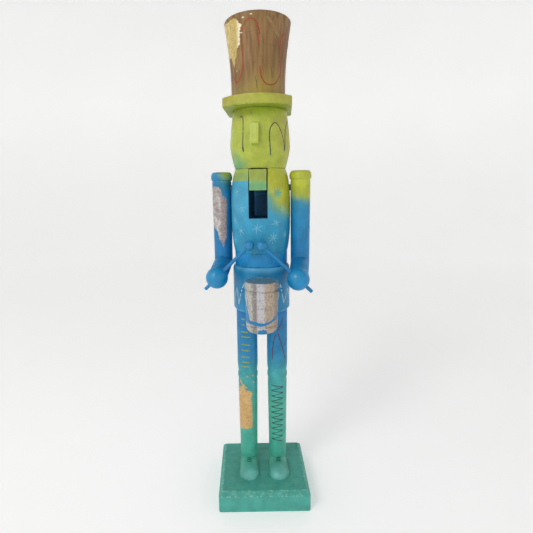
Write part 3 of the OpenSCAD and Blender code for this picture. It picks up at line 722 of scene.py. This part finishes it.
def star(bm, angle, height, reach, strokes, lean, width=0.8 * mm):
    for k in range(strokes):
        way = radians(lean + 180 * k / strokes + 22 * noise.noise((height, angle, k)))
        long = reach * (1 + 0.6 * noise.noise((angle, height, k)))
        across, rise = cos(way) * long, sin(way) * long
        swing = across / (radians(1) * torso_r / mm)
        bend = (angle + 1.2 * noise.noise((angle, k, 9)), height + 0.3 * noise.noise((height, k, 4)))
        pen_line(bm, torso_skin, [(angle - swing, height - rise), bend, (angle + swing, height + rise)],
                 width, steps=5)


stars = bmesh.new()
for angle, height, reach, strokes, lean in (
    (46, 55, 5.8, 3, 65), (28, 38.5, 6.2, 3, 20), (52, 23, 5.4, 3, 30), (22, 20, 7.2, 4, 40),
    (-9, 33, 7.4, 3, 20), (-43, 29, 6.6, 3, 80), (-65, 15, 5.6, 3, 35), (-61, 42, 5.0, 3, 65),
    (-40, 57, 5.8, 3, 75), (-53, 77, 4.0, 2, 20), (95, 40, 6.2, 3, 25), (128, 62, 6.0, 3, 50),
    (112, 18, 6.4, 4, 10), (150, 30, 5.8, 3, 70), (-100, 30, 6.0, 3, 30), (-125, 55, 6.4, 3, 60),
    (-150, 22, 5.8, 4, 15),
):
    star(stars, angle, height, reach, strokes, lean)
finished("torso_stars", stars, [pen_paint("pale_blue_pen", (136, 190, 204), (80, 164, 196))], "figure")
blue_star = bmesh.new()
star(blue_star, 32, 75, 7.0, 4, 5, 1.5 * mm)
finished("lime_side_star", blue_star, [pen_paint("sky_blue_pen", (78, 164, 176), (110, 172, 130))], "figure")

# ---- Jaw and lever ----
# The jaw block is glued on the front of one long sawn lever, which pivots on a steel pin through
# the back of the torso and hangs down behind like a coat tail. Lifting the tail opens the mouth.
jaw_w, jaw_d, jaw_h, jaw_front = 20.8 * mm, 24 * mm, 25 * mm, -37 * mm
jaw_top = torso_h - 1.5 * mm
jaw = block((jaw_w, jaw_d, jaw_h), (0, jaw_front + jaw_d / 2, jaw_top - jaw_h / 2))
bmesh.ops.transform(jaw, matrix=torso_turn, verts=jaw.verts)
eased(jaw, 0.7 * mm, steps=3)
jaw_paint = sprayed(
    "jaw_lime_to_teal", (112, 172, 116), levels=[(84, 90, (136, 170, 100)), (90.5, 91.5, (148, 164, 70))],
    point=torso_foot, rubbed=(180, 196, 120), wear=0.5, gloss=0.45
)
finished("jaw_front", jaw, [jaw_paint], "jaw", ["jaw_block"])

lever_paint = sprayed(
    "lever_blue", (28, 116, 168), levels=[(60, 95, (60, 140, 160))], point=torso_foot,
    rubbed=(176, 156, 116), wear=0.95, gloss=0.45
)
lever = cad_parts["jaw_lever"]
lever.data.materials.clear()
lever.data.materials.append(lever_paint)
weld = lever.modifiers.new("weld", "WELD")
weld.merge_threshold = 0.01 * mm
rounding = lever.modifiers.new("rubbed_edges", "BEVEL")
rounding.width = 0.8 * mm
rounding.segments = 2
rounding.limit_method = "ANGLE"
rounding.angle_limit = radians(40)

# ---- Head, nose and face ----
# The head is a second barrel, turned a little further round, with a sawn block for a nose. Lime
# spray, bluer low on the right cheek. The eyes are two loose navy pen lines.
head_low, head_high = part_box("head")
head_foot = Vector((figure_axis.x, figure_axis.y, head_low.z))
head_h, head_r = head_high.z - head_low.z, (head_high.x - head_low.x) / 2
head_side = barrel(32 * mm, head_r, 33.8 * mm, 28 * mm, head_h, 1.5, 1.35)
head = eased(turned([(0, 0), *head_side, (0, head_h)], head_foot, 128), 1.0 * mm, steps=3, over=50)
head_paint = sprayed(
    "lime_head", (170, 182, 66),
    levels=[(head_h / mm - 20, head_h / mm, (156, 176, 52))],
    bursts=[
        ((-34, -14, -4), 20, 12, (84, 158, 120), 0.75),
        ((44, -14, 44), 32, 16, (172, 168, 62), 0.8),
        ((-30, -30, 62), 12, 14, (172, 164, 60), 0.6),
    ],
    point=head_foot, rubbed=(206, 206, 120), wear=0.4, gloss=0.42
)
finished("head_barrel", head, [head_paint], "figure", ["head"])

head_twist = radians(-11)
head_turn = Matrix.Translation(head_foot) @ Matrix.Rotation(head_twist, 4, "Z")
nose_w, nose_low, nose_front = 10.4 * mm, 28.5 * mm, head_r + 8 * mm
nose = bmesh.new()
nose_profile = [(14, 0.5), (2, -1), (0, 2), (4.5, 22.5), (6.5, 24.5), (14, 24.5)]
side_face = nose.faces.new([
    nose.verts.new((-nose_w / 2, -nose_front + back * mm, nose_low + up * mm)) for back, up in nose_profile
])
slab = bmesh.ops.extrude_face_region(nose, geom=[side_face])
bmesh.ops.translate(nose, verts=[v for v in slab["geom"] if isinstance(v, bmesh.types.BMVert)],
                    vec=(nose_w, 0, 0))
bmesh.ops.recalc_face_normals(nose, faces=nose.faces)
bmesh.ops.transform(nose, matrix=head_turn, verts=nose.verts)
eased(nose, 1.0 * mm, steps=3, over=20)
nose_paint = sprayed("lime_nose", (172, 184, 70), rubbed=(196, 202, 110), wear=0.5, gloss=0.4)
finished("nose_block", nose, [nose_paint], "figure", ["nose"])

head_skin = skin(head_side, head_foot)
eyes = bmesh.new()
for points in (
    [(-45, 59.5), (-41, 61), (-37, 59), (-35.5, 52), (-35, 39), (-35, 28), (-35, 20)],
    [(19, 14), (17, 22), (16, 30), (16, 40), (19, 47), (28, 52.5), (37, 48), (44, 39), (48, 30), (51, 20.5)],
    [(51, 20.5), (51.5, 30), (53, 40), (58, 49), (64, 54), (74, 57)],
):
    pen_line(eyes, head_skin, points, 1.25 * mm)
for angle, height in ((-35, 20.5), (51, 21)):
    pen_line(eyes, head_skin, [(angle - 0.6, height + 5), (angle, height + 2), (angle + 0.5, height - 1)],
             2.0 * mm)
finished("eye_lines", eyes, [navy_ink], "figure")

# ---- Hat ----
# A tall hat of two turned pieces: a thick brim, sawn off flat over both arms, and a crown that flares
# to the top. The brim is sprayed olive, with painted shade as a darker green underneath. The crown is
# stained brown over its own grain, and carries gold leaf and a red pen line.
hat_twist, hat_aside = radians(-5), 1.5 * mm
hat_place = Matrix.Translation(head_foot) @ Matrix.Rotation(hat_twist, 4, "Z")
hat_place @= Matrix.Translation((-hat_aside, 0, 0))
hat_axis = hat_place.translation
brim_low, brim_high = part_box("hat_brim")
brim_foot = Vector((hat_axis.x, hat_axis.y, brim_low.z))
brim_h, brim_r, brim_flat = brim_high.z - brim_low.z, 51.5 * mm, 41.3 * mm
brim = turned([(0, 0), (brim_r, 0), (brim_r, brim_h), (0, brim_h)], brim_foot, 144)
for side in (-1, 1):
    way = hat_place.to_3x3() @ Vector((side, 0, 0))
    sawn(brim, hat_axis + way * brim_flat, way)
eased(brim, 1.0 * mm, steps=3, over=50)
# The first colour, a darker green on the underside and the lowest edge, is painted shade; the olive starts
# just above it.
brim_paint = sprayed(
    "olive_brim_shaded_underneath", (140, 158, 46), levels=[(0.2, 2, (168, 166, 66))],
    bursts=[
        ((52, -18, 6), 8, 14, (164, 138, 62), 0.7),
        ((-44, -24, 10), 8, 14, (176, 164, 84), 0.6),
        ((4, -50, 4), 10, 16, (170, 182, 66), 0.6),
    ],
    point=brim_foot, rubbed=(192, 186, 104), wear=0.4, grain=(0.06, 1, 1), gloss=0.5
)
finished("brim_disc", brim, [brim_paint], "figure", ["hat_brim"])

crown_low, crown_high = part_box("hat_crown")
crown_foot = Vector((hat_axis.x, hat_axis.y, crown_low.z))
crown_r, crown_flare, crown_h, flare_start = 33.3 * mm, 7.1 * mm, crown_high.z - crown_low.z, 9 * mm
flare_h = crown_h - flare_start - 2 * mm
crown_outline = [(0, 0), (crown_r, 0), (crown_r, flare_start)]
for part in (i / 20 for i in range(1, 21)):
    crown_outline.append((crown_r + crown_flare * part**2, flare_start + flare_h * part))
crown_outline += arc(crown_r + crown_flare - 2 * mm, crown_h - 2 * mm, 2 * mm, 2 * mm, 18, 90, 6)
crown_outline += [(0, crown_h)]
crown = eased(turned(crown_outline, crown_foot, 144), 0.6 * mm, over=50)
crown_skin = skin(crown_outline[1:-1], crown_foot)

brown_stain, tree, shader, place = new_material("brown_stain")
streaks = noise_at(tree, place, 260, 6, (1, 1, 0.06))
pores = noise_at(tree, place, 1300, 4, (1, 1, 0.09))
chatter = noise_at(tree, place, 300, 3, (0.12, 0.12, 1))
shade = mixed(tree, ramp(tree, streaks, 0.34, 0.68), colour(146, 112, 68), colour(108, 76, 40))
shade = mixed(tree, ramp(tree, noise_at(tree, place, 45, 4), 0.4, 0.65, 0.0, 0.55), shade,
              colour(134, 104, 58))
shade = mixed(tree, ramp(tree, pores, 0.62, 0.74, 0.0, 0.5), shade, colour(84, 58, 30))
shade = mixed(tree, ramp(tree, chatter, 0.6, 0.75, 0.0, 0.25), shade, colour(92, 68, 40))
for angle, height, radius, soft, paint, strength in (
    (2, 1, 13, 26, (176, 158, 62), 0.9),
    (-50, 2, 10, 14, (168, 148, 84), 0.7),
    (30, 14, 8, 16, (164, 140, 62), 0.6),
    (-42, 44, 5, 8, (150, 140, 104), 0.6),
    (64, 62, 14, 16, (122, 82, 44), 0.7),
):
    mist = burst(tree, place, crown_skin(angle, height * mm), radius * mm, soft * mm)
    shade = mixed(tree, calc(tree, "MULTIPLY", mist, strength), shade, colour(*paint))
height = put(tree, "SeparateXYZ", {0: place}).outputs[2]
shade = mixed(tree, ramp(tree, height, crown_high.z - 1.6 * mm, crown_high.z - 0.2 * mm), shade,
              colour(84, 52, 22))
grooves = calc(tree, "ADD", calc(tree, "ADD", streaks, pores), calc(tree, "MULTIPLY", chatter, 0.5))
coated(tree, shader, shade, ramp(tree, streaks, 0.3, 0.7, 0.42, 0.6), grooves, 0.6, 0.18 * mm)
finished("crown_turning", crown, [brown_stain], "figure", ["hat_crown"])

mid_r = 37 * mm
gold = bmesh.new()
gold_patch = [
    (-118, 86), (-100, 87), (-80, 86.3), (-60, 85), (-43, 86), (-39, 83), (-30, 77.5), (-34, 72),
    (-36, 59), (-44, 53.5), (-57, 35), (-65, 47), (-84, 50), (-104, 60),
]
leaf_sheet(gold, crown_skin, gold_patch, mid_r, lift=0.1 * mm, crease=0.25 * mm, torn=1.6, seed=11)
for angle, height in ((-26, 84), (-31, 69), (-49, 31), (-12, 86)):
    fleck = [(angle - 2, height - 0.8), (angle + 2.4, height - 0.4), (angle + 1, height + 1),
             (angle - 2, height + 0.6)]
    leaf_sheet(gold, crown_skin, fleck, mid_r, spacing=0.3 * mm, torn=0.4, seed=angle)
# The two bands across the gold near its right edge are painted reflection, the paler one a painted highlight.
gold_leaf = leaf_metal(
    "gold_leaf", (236, 216, 150), (150, 122, 62), (186, 160, 86), metal=0.45,
    reflection_bands=[(-36 * mm, -32 * mm, (206, 182, 112)), (-27 * mm, -23 * mm, (246, 238, 206))]
)
finished("crown_gold_leaf", gold, [gold_leaf], "figure")

thin_stain = bmesh.new()
for patch, torn, seed in (
    ([(11, 84), (19, 83.5), (44, 65), (34, 66.5)], 0.5, 21),
    ([(-52, 52), (-40, 54), (-37, 40), (-42, 30), (-52, 34)], 1.2, 22),
):
    leaf_sheet(thin_stain, crown_skin, patch, mid_r, 0.4 * mm, lift=0.02 * mm, crease=0.02 * mm, torn=torn,
               seed=seed)
finished("crown_thin_stain", thin_stain, [pen_paint("thin_stain", (148, 116, 72), (136, 106, 62))], "figure")

red_lines = bmesh.new()
for points in (
    [
        (-65, 28), (-52, 18.5), (-43, 21), (-34, 31), (-32, 44), (-33, 56), (-31, 67.5), (-28, 74),
        (-20, 81), (-12, 82), (-4, 78), (2, 67.5), (-1, 64.5), (0, 56.5),
    ],
    [
        (2, 33.5), (4, 22.5), (12, 15), (21, 13), (31, 14), (39, 17.5), (50, 28), (48, 38), (46, 48),
        (46, 64.5), (54, 70.5), (76, 68), (96, 60), (112, 40), (128, 24), (146, 30), (156, 52),
        (168, 70), (180, 66),
    ],
):
    pen_line(red_lines, crown_skin, points, 1.45 * mm)
finished("crown_red_line", red_lines, [pen_paint("red_pen", (164, 46, 14), (134, 62, 34))], "figure")
cracks = bmesh.new()
for points in (
    [(-7, 22), (-5, 15), (-4, 8.5)],
    [(1, 57), (0.5, 54), (0, 51)],
    [(24, 33), (27, 27), (28, 21)],
    [(56, 62), (57, 57), (57, 52)],
):
    pen_line(cracks, crown_skin, points, 0.7 * mm, 0.05 * mm)
finished("crown_cracks", cracks, [pen_paint("dark_crack", (82, 58, 28), (98, 74, 40))], "figure")

# ---- Arms ----
# Each arm is a turned upper arm with a rounded cap, mitred to a short forearm, and a ball for the
# hand. The whole arm swings on a dowel in the torso. Blue spray all over, lime on the shoulders, and
# the mitres rubbed to a greyish teal on top.


def stood(bm, spot, way):
    """Sets a turned piece on the spot, with its axis along way."""
    tip_over = Vector((0, 0, 1)).rotation_difference(way).to_matrix().to_4x4()
    bmesh.ops.transform(bm, matrix=Matrix.Translation(spot) @ tip_over, verts=bm.verts)
    return bm


arms_twist = radians(-10)
arms_place = Matrix.Translation((figure_axis.x, figure_axis.y, 0)) @ Matrix.Rotation(arms_twist, 4, "Z")
arm_out, elbow_z = 51.3 * mm, torso_low.z - 15 * mm
cap_z, peg_z = torso_high.z - 9 * mm, torso_high.z - 23 * mm
peg_hole_r, peg_hole_end, peg_hole_l = 4.05 * mm, 4.5 * mm, 30 * mm
cut_spare, cap_up = 20 * mm, cap_z - elbow_z
arm_r, arm_low_r, arm_top_r = 12.1 * mm, 12.0 * mm, 12.6 * mm
cap_r, cap_flat_r, cap_flat_h = 13.88 * mm, 10.5 * mm, 6.5 * mm
forearm_slope, forearm_l, hand_r = radians(20), 42.6 * mm, 14 * mm
wrist_l = sqrt(hand_r**2 - arm_r**2)
arm_outline = [(0, -cut_spare), (arm_low_r, -cut_spare), (arm_top_r, cap_up - 6.4 * mm)]
arm_outline += [(arm_top_r - 0.6 * mm, cap_up - 5.2 * mm), (arm_top_r, cap_up - 4 * mm)]
arm_outline += arc(arm_top_r, cap_up, cap_r - arm_top_r, 4 * mm, -75, 0, 6)
arm_outline += arc(cap_flat_r, cap_up, cap_r - cap_flat_r, cap_flat_h, 10, 90, 10)
arm_outline += [(0, cap_up + cap_flat_h)]
mitre = (pi / 2 - forearm_slope) / 2
mitre_way = arms_place.to_3x3() @ Vector((0, sin(mitre), cos(mitre)))
reach_way = arms_place.to_3x3() @ Vector((0, -cos(forearm_slope), -sin(forearm_slope)))
elbows = {}
for side, way in (("left", 1), ("right", -1)):
    elbows[side] = arms_place @ Vector((way * arm_out, 0, elbow_z))
hands = {side: spot + reach_way * forearm_l for side, spot in elbows.items()}

arm_paints = {
    "left": sprayed(
        "left_arm_blue_and_lime", (18, 124, 180),
        levels=[(elbow_z / mm + 10, elbow_z / mm + 90, (34, 132, 176))],
        bursts=[
            ((66, -4, 440), 44, 10, (84, 150, 120), 0.8),
            ((66, -4, 440), 40, 7, (176, 184, 56), 1.0),
            ((56, -2, 440), 8, 9, (170, 152, 60), 0.6),
        ],
        rubbed=(150, 180, 150), wear=0.25, gloss=0.42
    ),
    "right": sprayed(
        "right_arm_blue_and_green", (18, 120, 176),
        levels=[(elbow_z / mm + 10, elbow_z / mm + 90, (30, 126, 180))],
        bursts=[
            ((-37, 5, 428), 16, 9, (40, 124, 130), 0.8),
            ((-62, 8, 444), 10, 7, (92, 152, 164), 0.8),
            ((-38, 4, 440), 14.5, 7, (148, 170, 54), 1.0),
        ],
        rubbed=(110, 160, 150), wear=0.25, gloss=0.42
    ),
}
forearm_paint = sprayed("rubbed_forearm", (22, 124, 180), rubbed=(120, 160, 172), wear=0.5, gloss=0.5)
for side, way in (("left", 1), ("right", -1)):
    elbow = elbows[side]
    arm = turned(arm_outline, elbow)
    sawn(arm, elbow, -mitre_way)
    eased(arm, 0.6 * mm, over=40)
    peg = bmesh.new()
    bmesh.ops.create_cone(
        peg, cap_ends=True, segments=64, radius1=peg_hole_r, radius2=peg_hole_r, depth=peg_hole_l
    )
    bmesh.ops.rotate(peg, verts=peg.verts, cent=(0, 0, 0), matrix=Matrix.Rotation(pi / 2, 3, "Y"))
    bmesh.ops.translate(peg, verts=peg.verts, vec=(way * (arm_out + peg_hole_end - peg_hole_l / 2), 0, peg_z))
    bmesh.ops.transform(peg, matrix=arms_place, verts=peg.verts)
    arm = carved(arm, peg)
    finished(side + "_upper_arm", arm, [arm_paints[side]], side + "_arm", [side + "_arm"])

    wrist = forearm_l - wrist_l
    forearm_outline = [(0, -cut_spare), (arm_r, -cut_spare), (arm_r, wrist), (0, wrist)]
    forearm = stood(turned(forearm_outline, Vector()), elbow, reach_way)
    sawn(forearm, elbow, mitre_way)
    eased(forearm, 0.8 * mm, over=40)
    finished(side + "_forearm_turning", forearm, [forearm_paint], side + "_arm",
             [side + "_forearm"])

silver = bmesh.new()
arm_skin = skin(arm_outline[1:-1], elbows["right"])
silver_patch = [
    (-118, 92), (-86, 98.5), (-55, 99.5), (-23, 99), (-1, 95.5), (2, 88), (28, 85.5), (35, 80), (31, 56),
    (26, 33), (18, 31), (11, 27.5), (7, 20), (-2, 25), (-22, 31), (-31, 42.5), (-69, 49), (-85, 60.5),
    (-112, 68),
]
leaf_sheet(silver, arm_skin, silver_patch, arm_top_r, lift=0.1 * mm, crease=0.3 * mm, torn=1.0,
           spacing=0.45 * mm, seed=31)
# The greyer band down the middle of the arm is a painted reflection.
silver_leaf = leaf_metal(
    "silver_leaf", (206, 202, 196), (112, 102, 104), (160, 148, 146), crinkle=1.2, metal=0.4,
    reflection_bands=[(-53 * mm, -49 * mm, (164, 148, 150))]
)
finished("right_arm_silver_leaf", silver, [silver_leaf], "right_arm")

# ---- Hands, drumsticks and balls ----
# A turned ball, flat where it is glued on the forearm, with the drumstick driven through it. The
# stick is a thin dowel with a ball on its end.
# Each hand ball gets a lighter spot on its upper left front, towards the lamp: a painted highlight.
hand_paint = sprayed(
    "hand_blue_with_painted_highlight", (14, 134, 190),
    bursts=[(hand / mm + Vector((-5, -11, 6)), 5, 7, (60, 154, 194), 0.5) for hand in hands.values()],
    rubbed=(110, 180, 206), wear=0.5, grain=(1, 1, 1), gloss=0.38
)
stick_paint = sprayed("stick_blue", (30, 128, 186), rubbed=(132, 190, 206), wear=0.6, grain=(1, 1, 1),
                      gloss=0.4)
# The lighter spot on the front and top of the two ball tips is a painted highlight.
ball_paint = sprayed(
    "ball_blue_with_painted_highlight", (36, 130, 182), bursts=[((0, -58, 353), 6, 8, (78, 166, 196), 0.6)],
    rubbed=(128, 190, 206), wear=0.6, grain=(1, 1, 1), gloss=0.38
)
stick_r, ball_r, stick_tail = 2.25 * mm, 6.6 * mm, 23.5 * mm
tip_out, tip_ahead, tip_up = 1.5 * mm, 41.8 * mm, 42 * mm
for side, way in (("left", 1), ("right", -1)):
    hand = hands[side]
    tip = arms_place @ Vector((way * (ball_r + tip_out), -(tip_ahead + ball_r), 0))
    tip.z = hand.z + tip_up
    profile = [(0, -hand_r)] + arc(0, 0, hand_r, hand_r, -88, 30.2, 34) + [(0, wrist_l)]
    ball = stood(eased(turned(profile, Vector()), 0.4 * mm, over=50), hand, -reach_way)
    finished(side + "_hand_ball", ball, [hand_paint], side + "_arm", [side + "_hand"])

    along = (tip - hand).normalized()
    stick_l = (tip - hand).length + stick_tail
    profile = [(0, 0), (1.7 * mm, 0), (stick_r, 0.7 * mm), (stick_r, stick_l * 0.5), (2.15 * mm, stick_l)]
    profile += [(0, stick_l)]
    stick = stood(turned(profile, Vector(), 40), hand - along * stick_tail, along)
    finished(side + "_stick", stick, [stick_paint], side + "_arm", [side + "_drumstick"])
    profile = [(0, -ball_r)] + arc(0, 0, ball_r, ball_r, -86, 84, 30) + [(0, ball_r - 0.1 * mm)]
    knob = stood(turned(profile, Vector(), 64), tip, along)
    finished(side + "_ball_tip", knob, [ball_paint], side + "_arm", [side + "_stick_tip"])

# ---- Drum ----
# A turned drum with two hoops between grooves and a rounded foot, planed flat behind where it is
# pegged and glued on the skirt. Painted blue, then covered with crinkled silver leaf, which has torn
# open along the lower hoop.
drum_low, drum_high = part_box("drum")
drum_twist = radians(-2)
drum_way = Matrix.Rotation(drum_twist, 3, "Z")
drum_axis = figure_axis + drum_way @ Vector((0, -(skirt_r + 19.8 * mm), 0))
drum_foot = Vector((drum_axis.x, drum_axis.y, drum_low.z))
drum_r, drum_h, hoop_h, low_r, leaf_room = 20.8 * mm, drum_high.z - drum_low.z, 10.5 * mm, 19.5 * mm, 0.5 * mm
shell_r, upper = drum_r - 0.3 * mm - leaf_room, drum_h - hoop_h
drum_outline = [(0, 0)] + arc(11 * mm, hoop_h - 1.5 * mm, low_r - leaf_room - 11 * mm, hoop_h - 1.5 * mm,
                              -90, 0, 12)
drum_outline += [(low_r - leaf_room, hoop_h - mm), (low_r - 1.4 * mm, hoop_h),
                 (low_r - 0.3 * mm, hoop_h + mm)]
drum_outline += [(shell_r, upper - 1.2 * mm), (shell_r - 0.9 * mm, upper),
                 (drum_r - leaf_room, upper + 1.2 * mm)]
drum_outline += [(drum_r - leaf_room, drum_h - 0.9 * mm), (drum_r - leaf_room - 0.9 * mm, drum_h),
                 (drum_r - 2.6 * mm, drum_h)]
drum_outline += [(drum_r - 3.1 * mm, drum_h - 0.5 * mm), (0, drum_h - 0.5 * mm)]
drum = turned(drum_outline, drum_foot, 128)
back_way = drum_way @ Vector((0, 1, 0))
sawn(drum, figure_axis - back_way * skirt_r, back_way)
eased(drum, 0.35 * mm, over=35)
for face in drum.faces:
    face.material_index = 1 if face.normal.z > 0.9 and face.calc_center_median().z > drum_high.z - mm else 0
drum_paint = sprayed("drum_blue", (24, 122, 178), rubbed=(150, 176, 184), wear=0.5, gloss=0.42)
drumhead_paint = sprayed(
    "grey_drumhead", (96, 124, 134), bursts=[((8, -8, 0), 6, 8, (84, 128, 138), 0.6)], point=drum_axis,
    rubbed=(160, 170, 168), wear=0.5, grain=(0.08, 1, 1), gloss=0.35
)
finished("drum_turning", drum, [drum_paint, drumhead_paint], "figure", ["drum"])

drum_skin = skin(drum_outline[1:-3], drum_foot)
drum_leaf = bmesh.new()
shell_patch = [
    (-104, 63.9), (104, 63.9), (104, 31), (78, 27), (52, 22), (30, 18.5), (20, 17), (-5, 16),
    (-18, 17.5), (-41, 18), (-50, 19), (-60, 30), (-80, 42), (-104, 45),
]
foot_patch = [
    (-104, 13), (-63, 14.5), (-41, 14), (-18, 13.5), (-5, 11.8), (10, 13.5), (30, 15.5), (78, 22),
    (104, 24), (104, 2), (20, 1.5), (14, 7.5), (0, 8.5), (-14, 7), (-20, 1.5), (-65, 1.5), (-104, 3),
]
for patch, torn, seed in ((shell_patch, 1.2, 41), (foot_patch, 1.0, 42)):
    leaf_sheet(drum_leaf, drum_skin, patch, drum_r, lift=0.06 * mm, crease=0.16 * mm, torn=torn,
               spacing=0.5 * mm, seed=seed)
# The four bands across the drum's leaf are painted reflections: darker stripes towards both sides, a bright
# one and a warm one near the middle.
foil = leaf_metal(
    "crinkled_drum_leaf", (190, 190, 186), (104, 98, 96), (182, 180, 170), crinkle=1.1, metal=0.4,
    reflection_bands=[
        (drum_axis.x - 14 * mm, drum_axis.x - 9 * mm, (138, 132, 128)),
        (drum_axis.x - 7.5 * mm, drum_axis.x - 5 * mm, (196, 192, 196)),
        (drum_axis.x + 2 * mm, drum_axis.x + 4.5 * mm, (180, 162, 142)),
        (drum_axis.x + 13 * mm, drum_axis.x + 18 * mm, (136, 124, 112)),
    ]
)
finished("drum_leaf", drum_leaf, [foil], "figure")
marks = bmesh.new()
for points in (
    [(34.5, 58.6), (36, 58.3), (37.5, 58.5)],
    [(-25, 52.3), (-22, 52.9), (-19, 52.5)],
    [(1, 52.4), (4, 52.7)],
    [(-60, 44), (-58, 38), (-57, 31)],
):
    pen_line(marks, drum_skin, points, 1.1 * mm, 0.4 * mm)
finished("drum_paint_marks", marks, [pen_paint("blue_showing_through", (28, 120, 178), (23, 98, 146))],
         "figure")

# ---- Dowels, pins and screws ----
# The parts inside that hold the others together: plain beech dowels, a steel hinge pin and two leg
# screws. The two wire screw eyes on the drum were sprayed blue with the coat.
dowel_wood, tree, shader, place = new_material("beech_dowel")
fibres = noise_at(tree, place, 500, 6, (1, 1, 0.06))
flecks = ramp(tree, noise_at(tree, place, 1600, 3, (1, 1, 0.2)), 0.62, 0.72, 0.0, 0.5)
shade = mixed(tree, ramp(tree, fibres, 0.35, 0.68), colour(214, 178, 128), colour(184, 142, 92))
shade = mixed(tree, flecks, shade, colour(150, 108, 66))
coated(tree, shader, shade, ramp(tree, fibres, 0.3, 0.7, 0.55, 0.72), fibres, 0.5, 0.1 * mm)

plain_steel, tree, shader, place = new_material("plain_steel")
drawn = noise_at(tree, place, 900, 4, (0.05, 1, 1))
stains = ramp(tree, noise_at(tree, place, 160, 4), 0.5, 0.7, 0.0, 0.4)
shade = mixed(tree, ramp(tree, drawn, 0.3, 0.7), colour(176, 178, 182), colour(140, 142, 148))
shade = mixed(tree, stains, shade, colour(120, 108, 98))
shader.inputs["Metallic"].default_value = 1.0
coated(tree, shader, shade, ramp(tree, drawn, 0.3, 0.7, 0.28, 0.45), drawn, 0.3, 0.05 * mm)

peg_paint = sprayed("sprayed_peg", (20, 84, 112), rubbed=(170, 140, 100), wear=0.5, gloss=0.5)
wire_paint = sprayed("blue_wire", (30, 118, 172), rubbed=(170, 184, 190), wear=0.8, grain=(1, 1, 1),
                     gloss=0.35)
inner_parts = {
    "waist_dowel": dowel_wood, "neck_dowels": dowel_wood, "hat_dowel": dowel_wood, "drum_peg": dowel_wood,
    "left_shoulder_peg": peg_paint, "right_shoulder_peg": peg_paint, "jaw_pin": plain_steel,
    "leg_screws": plain_steel, "drum_screw_eyes": wire_paint,
}
for name, material in inner_parts.items():
    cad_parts[name].data.materials.clear()
    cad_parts[name].data.materials.append(material)
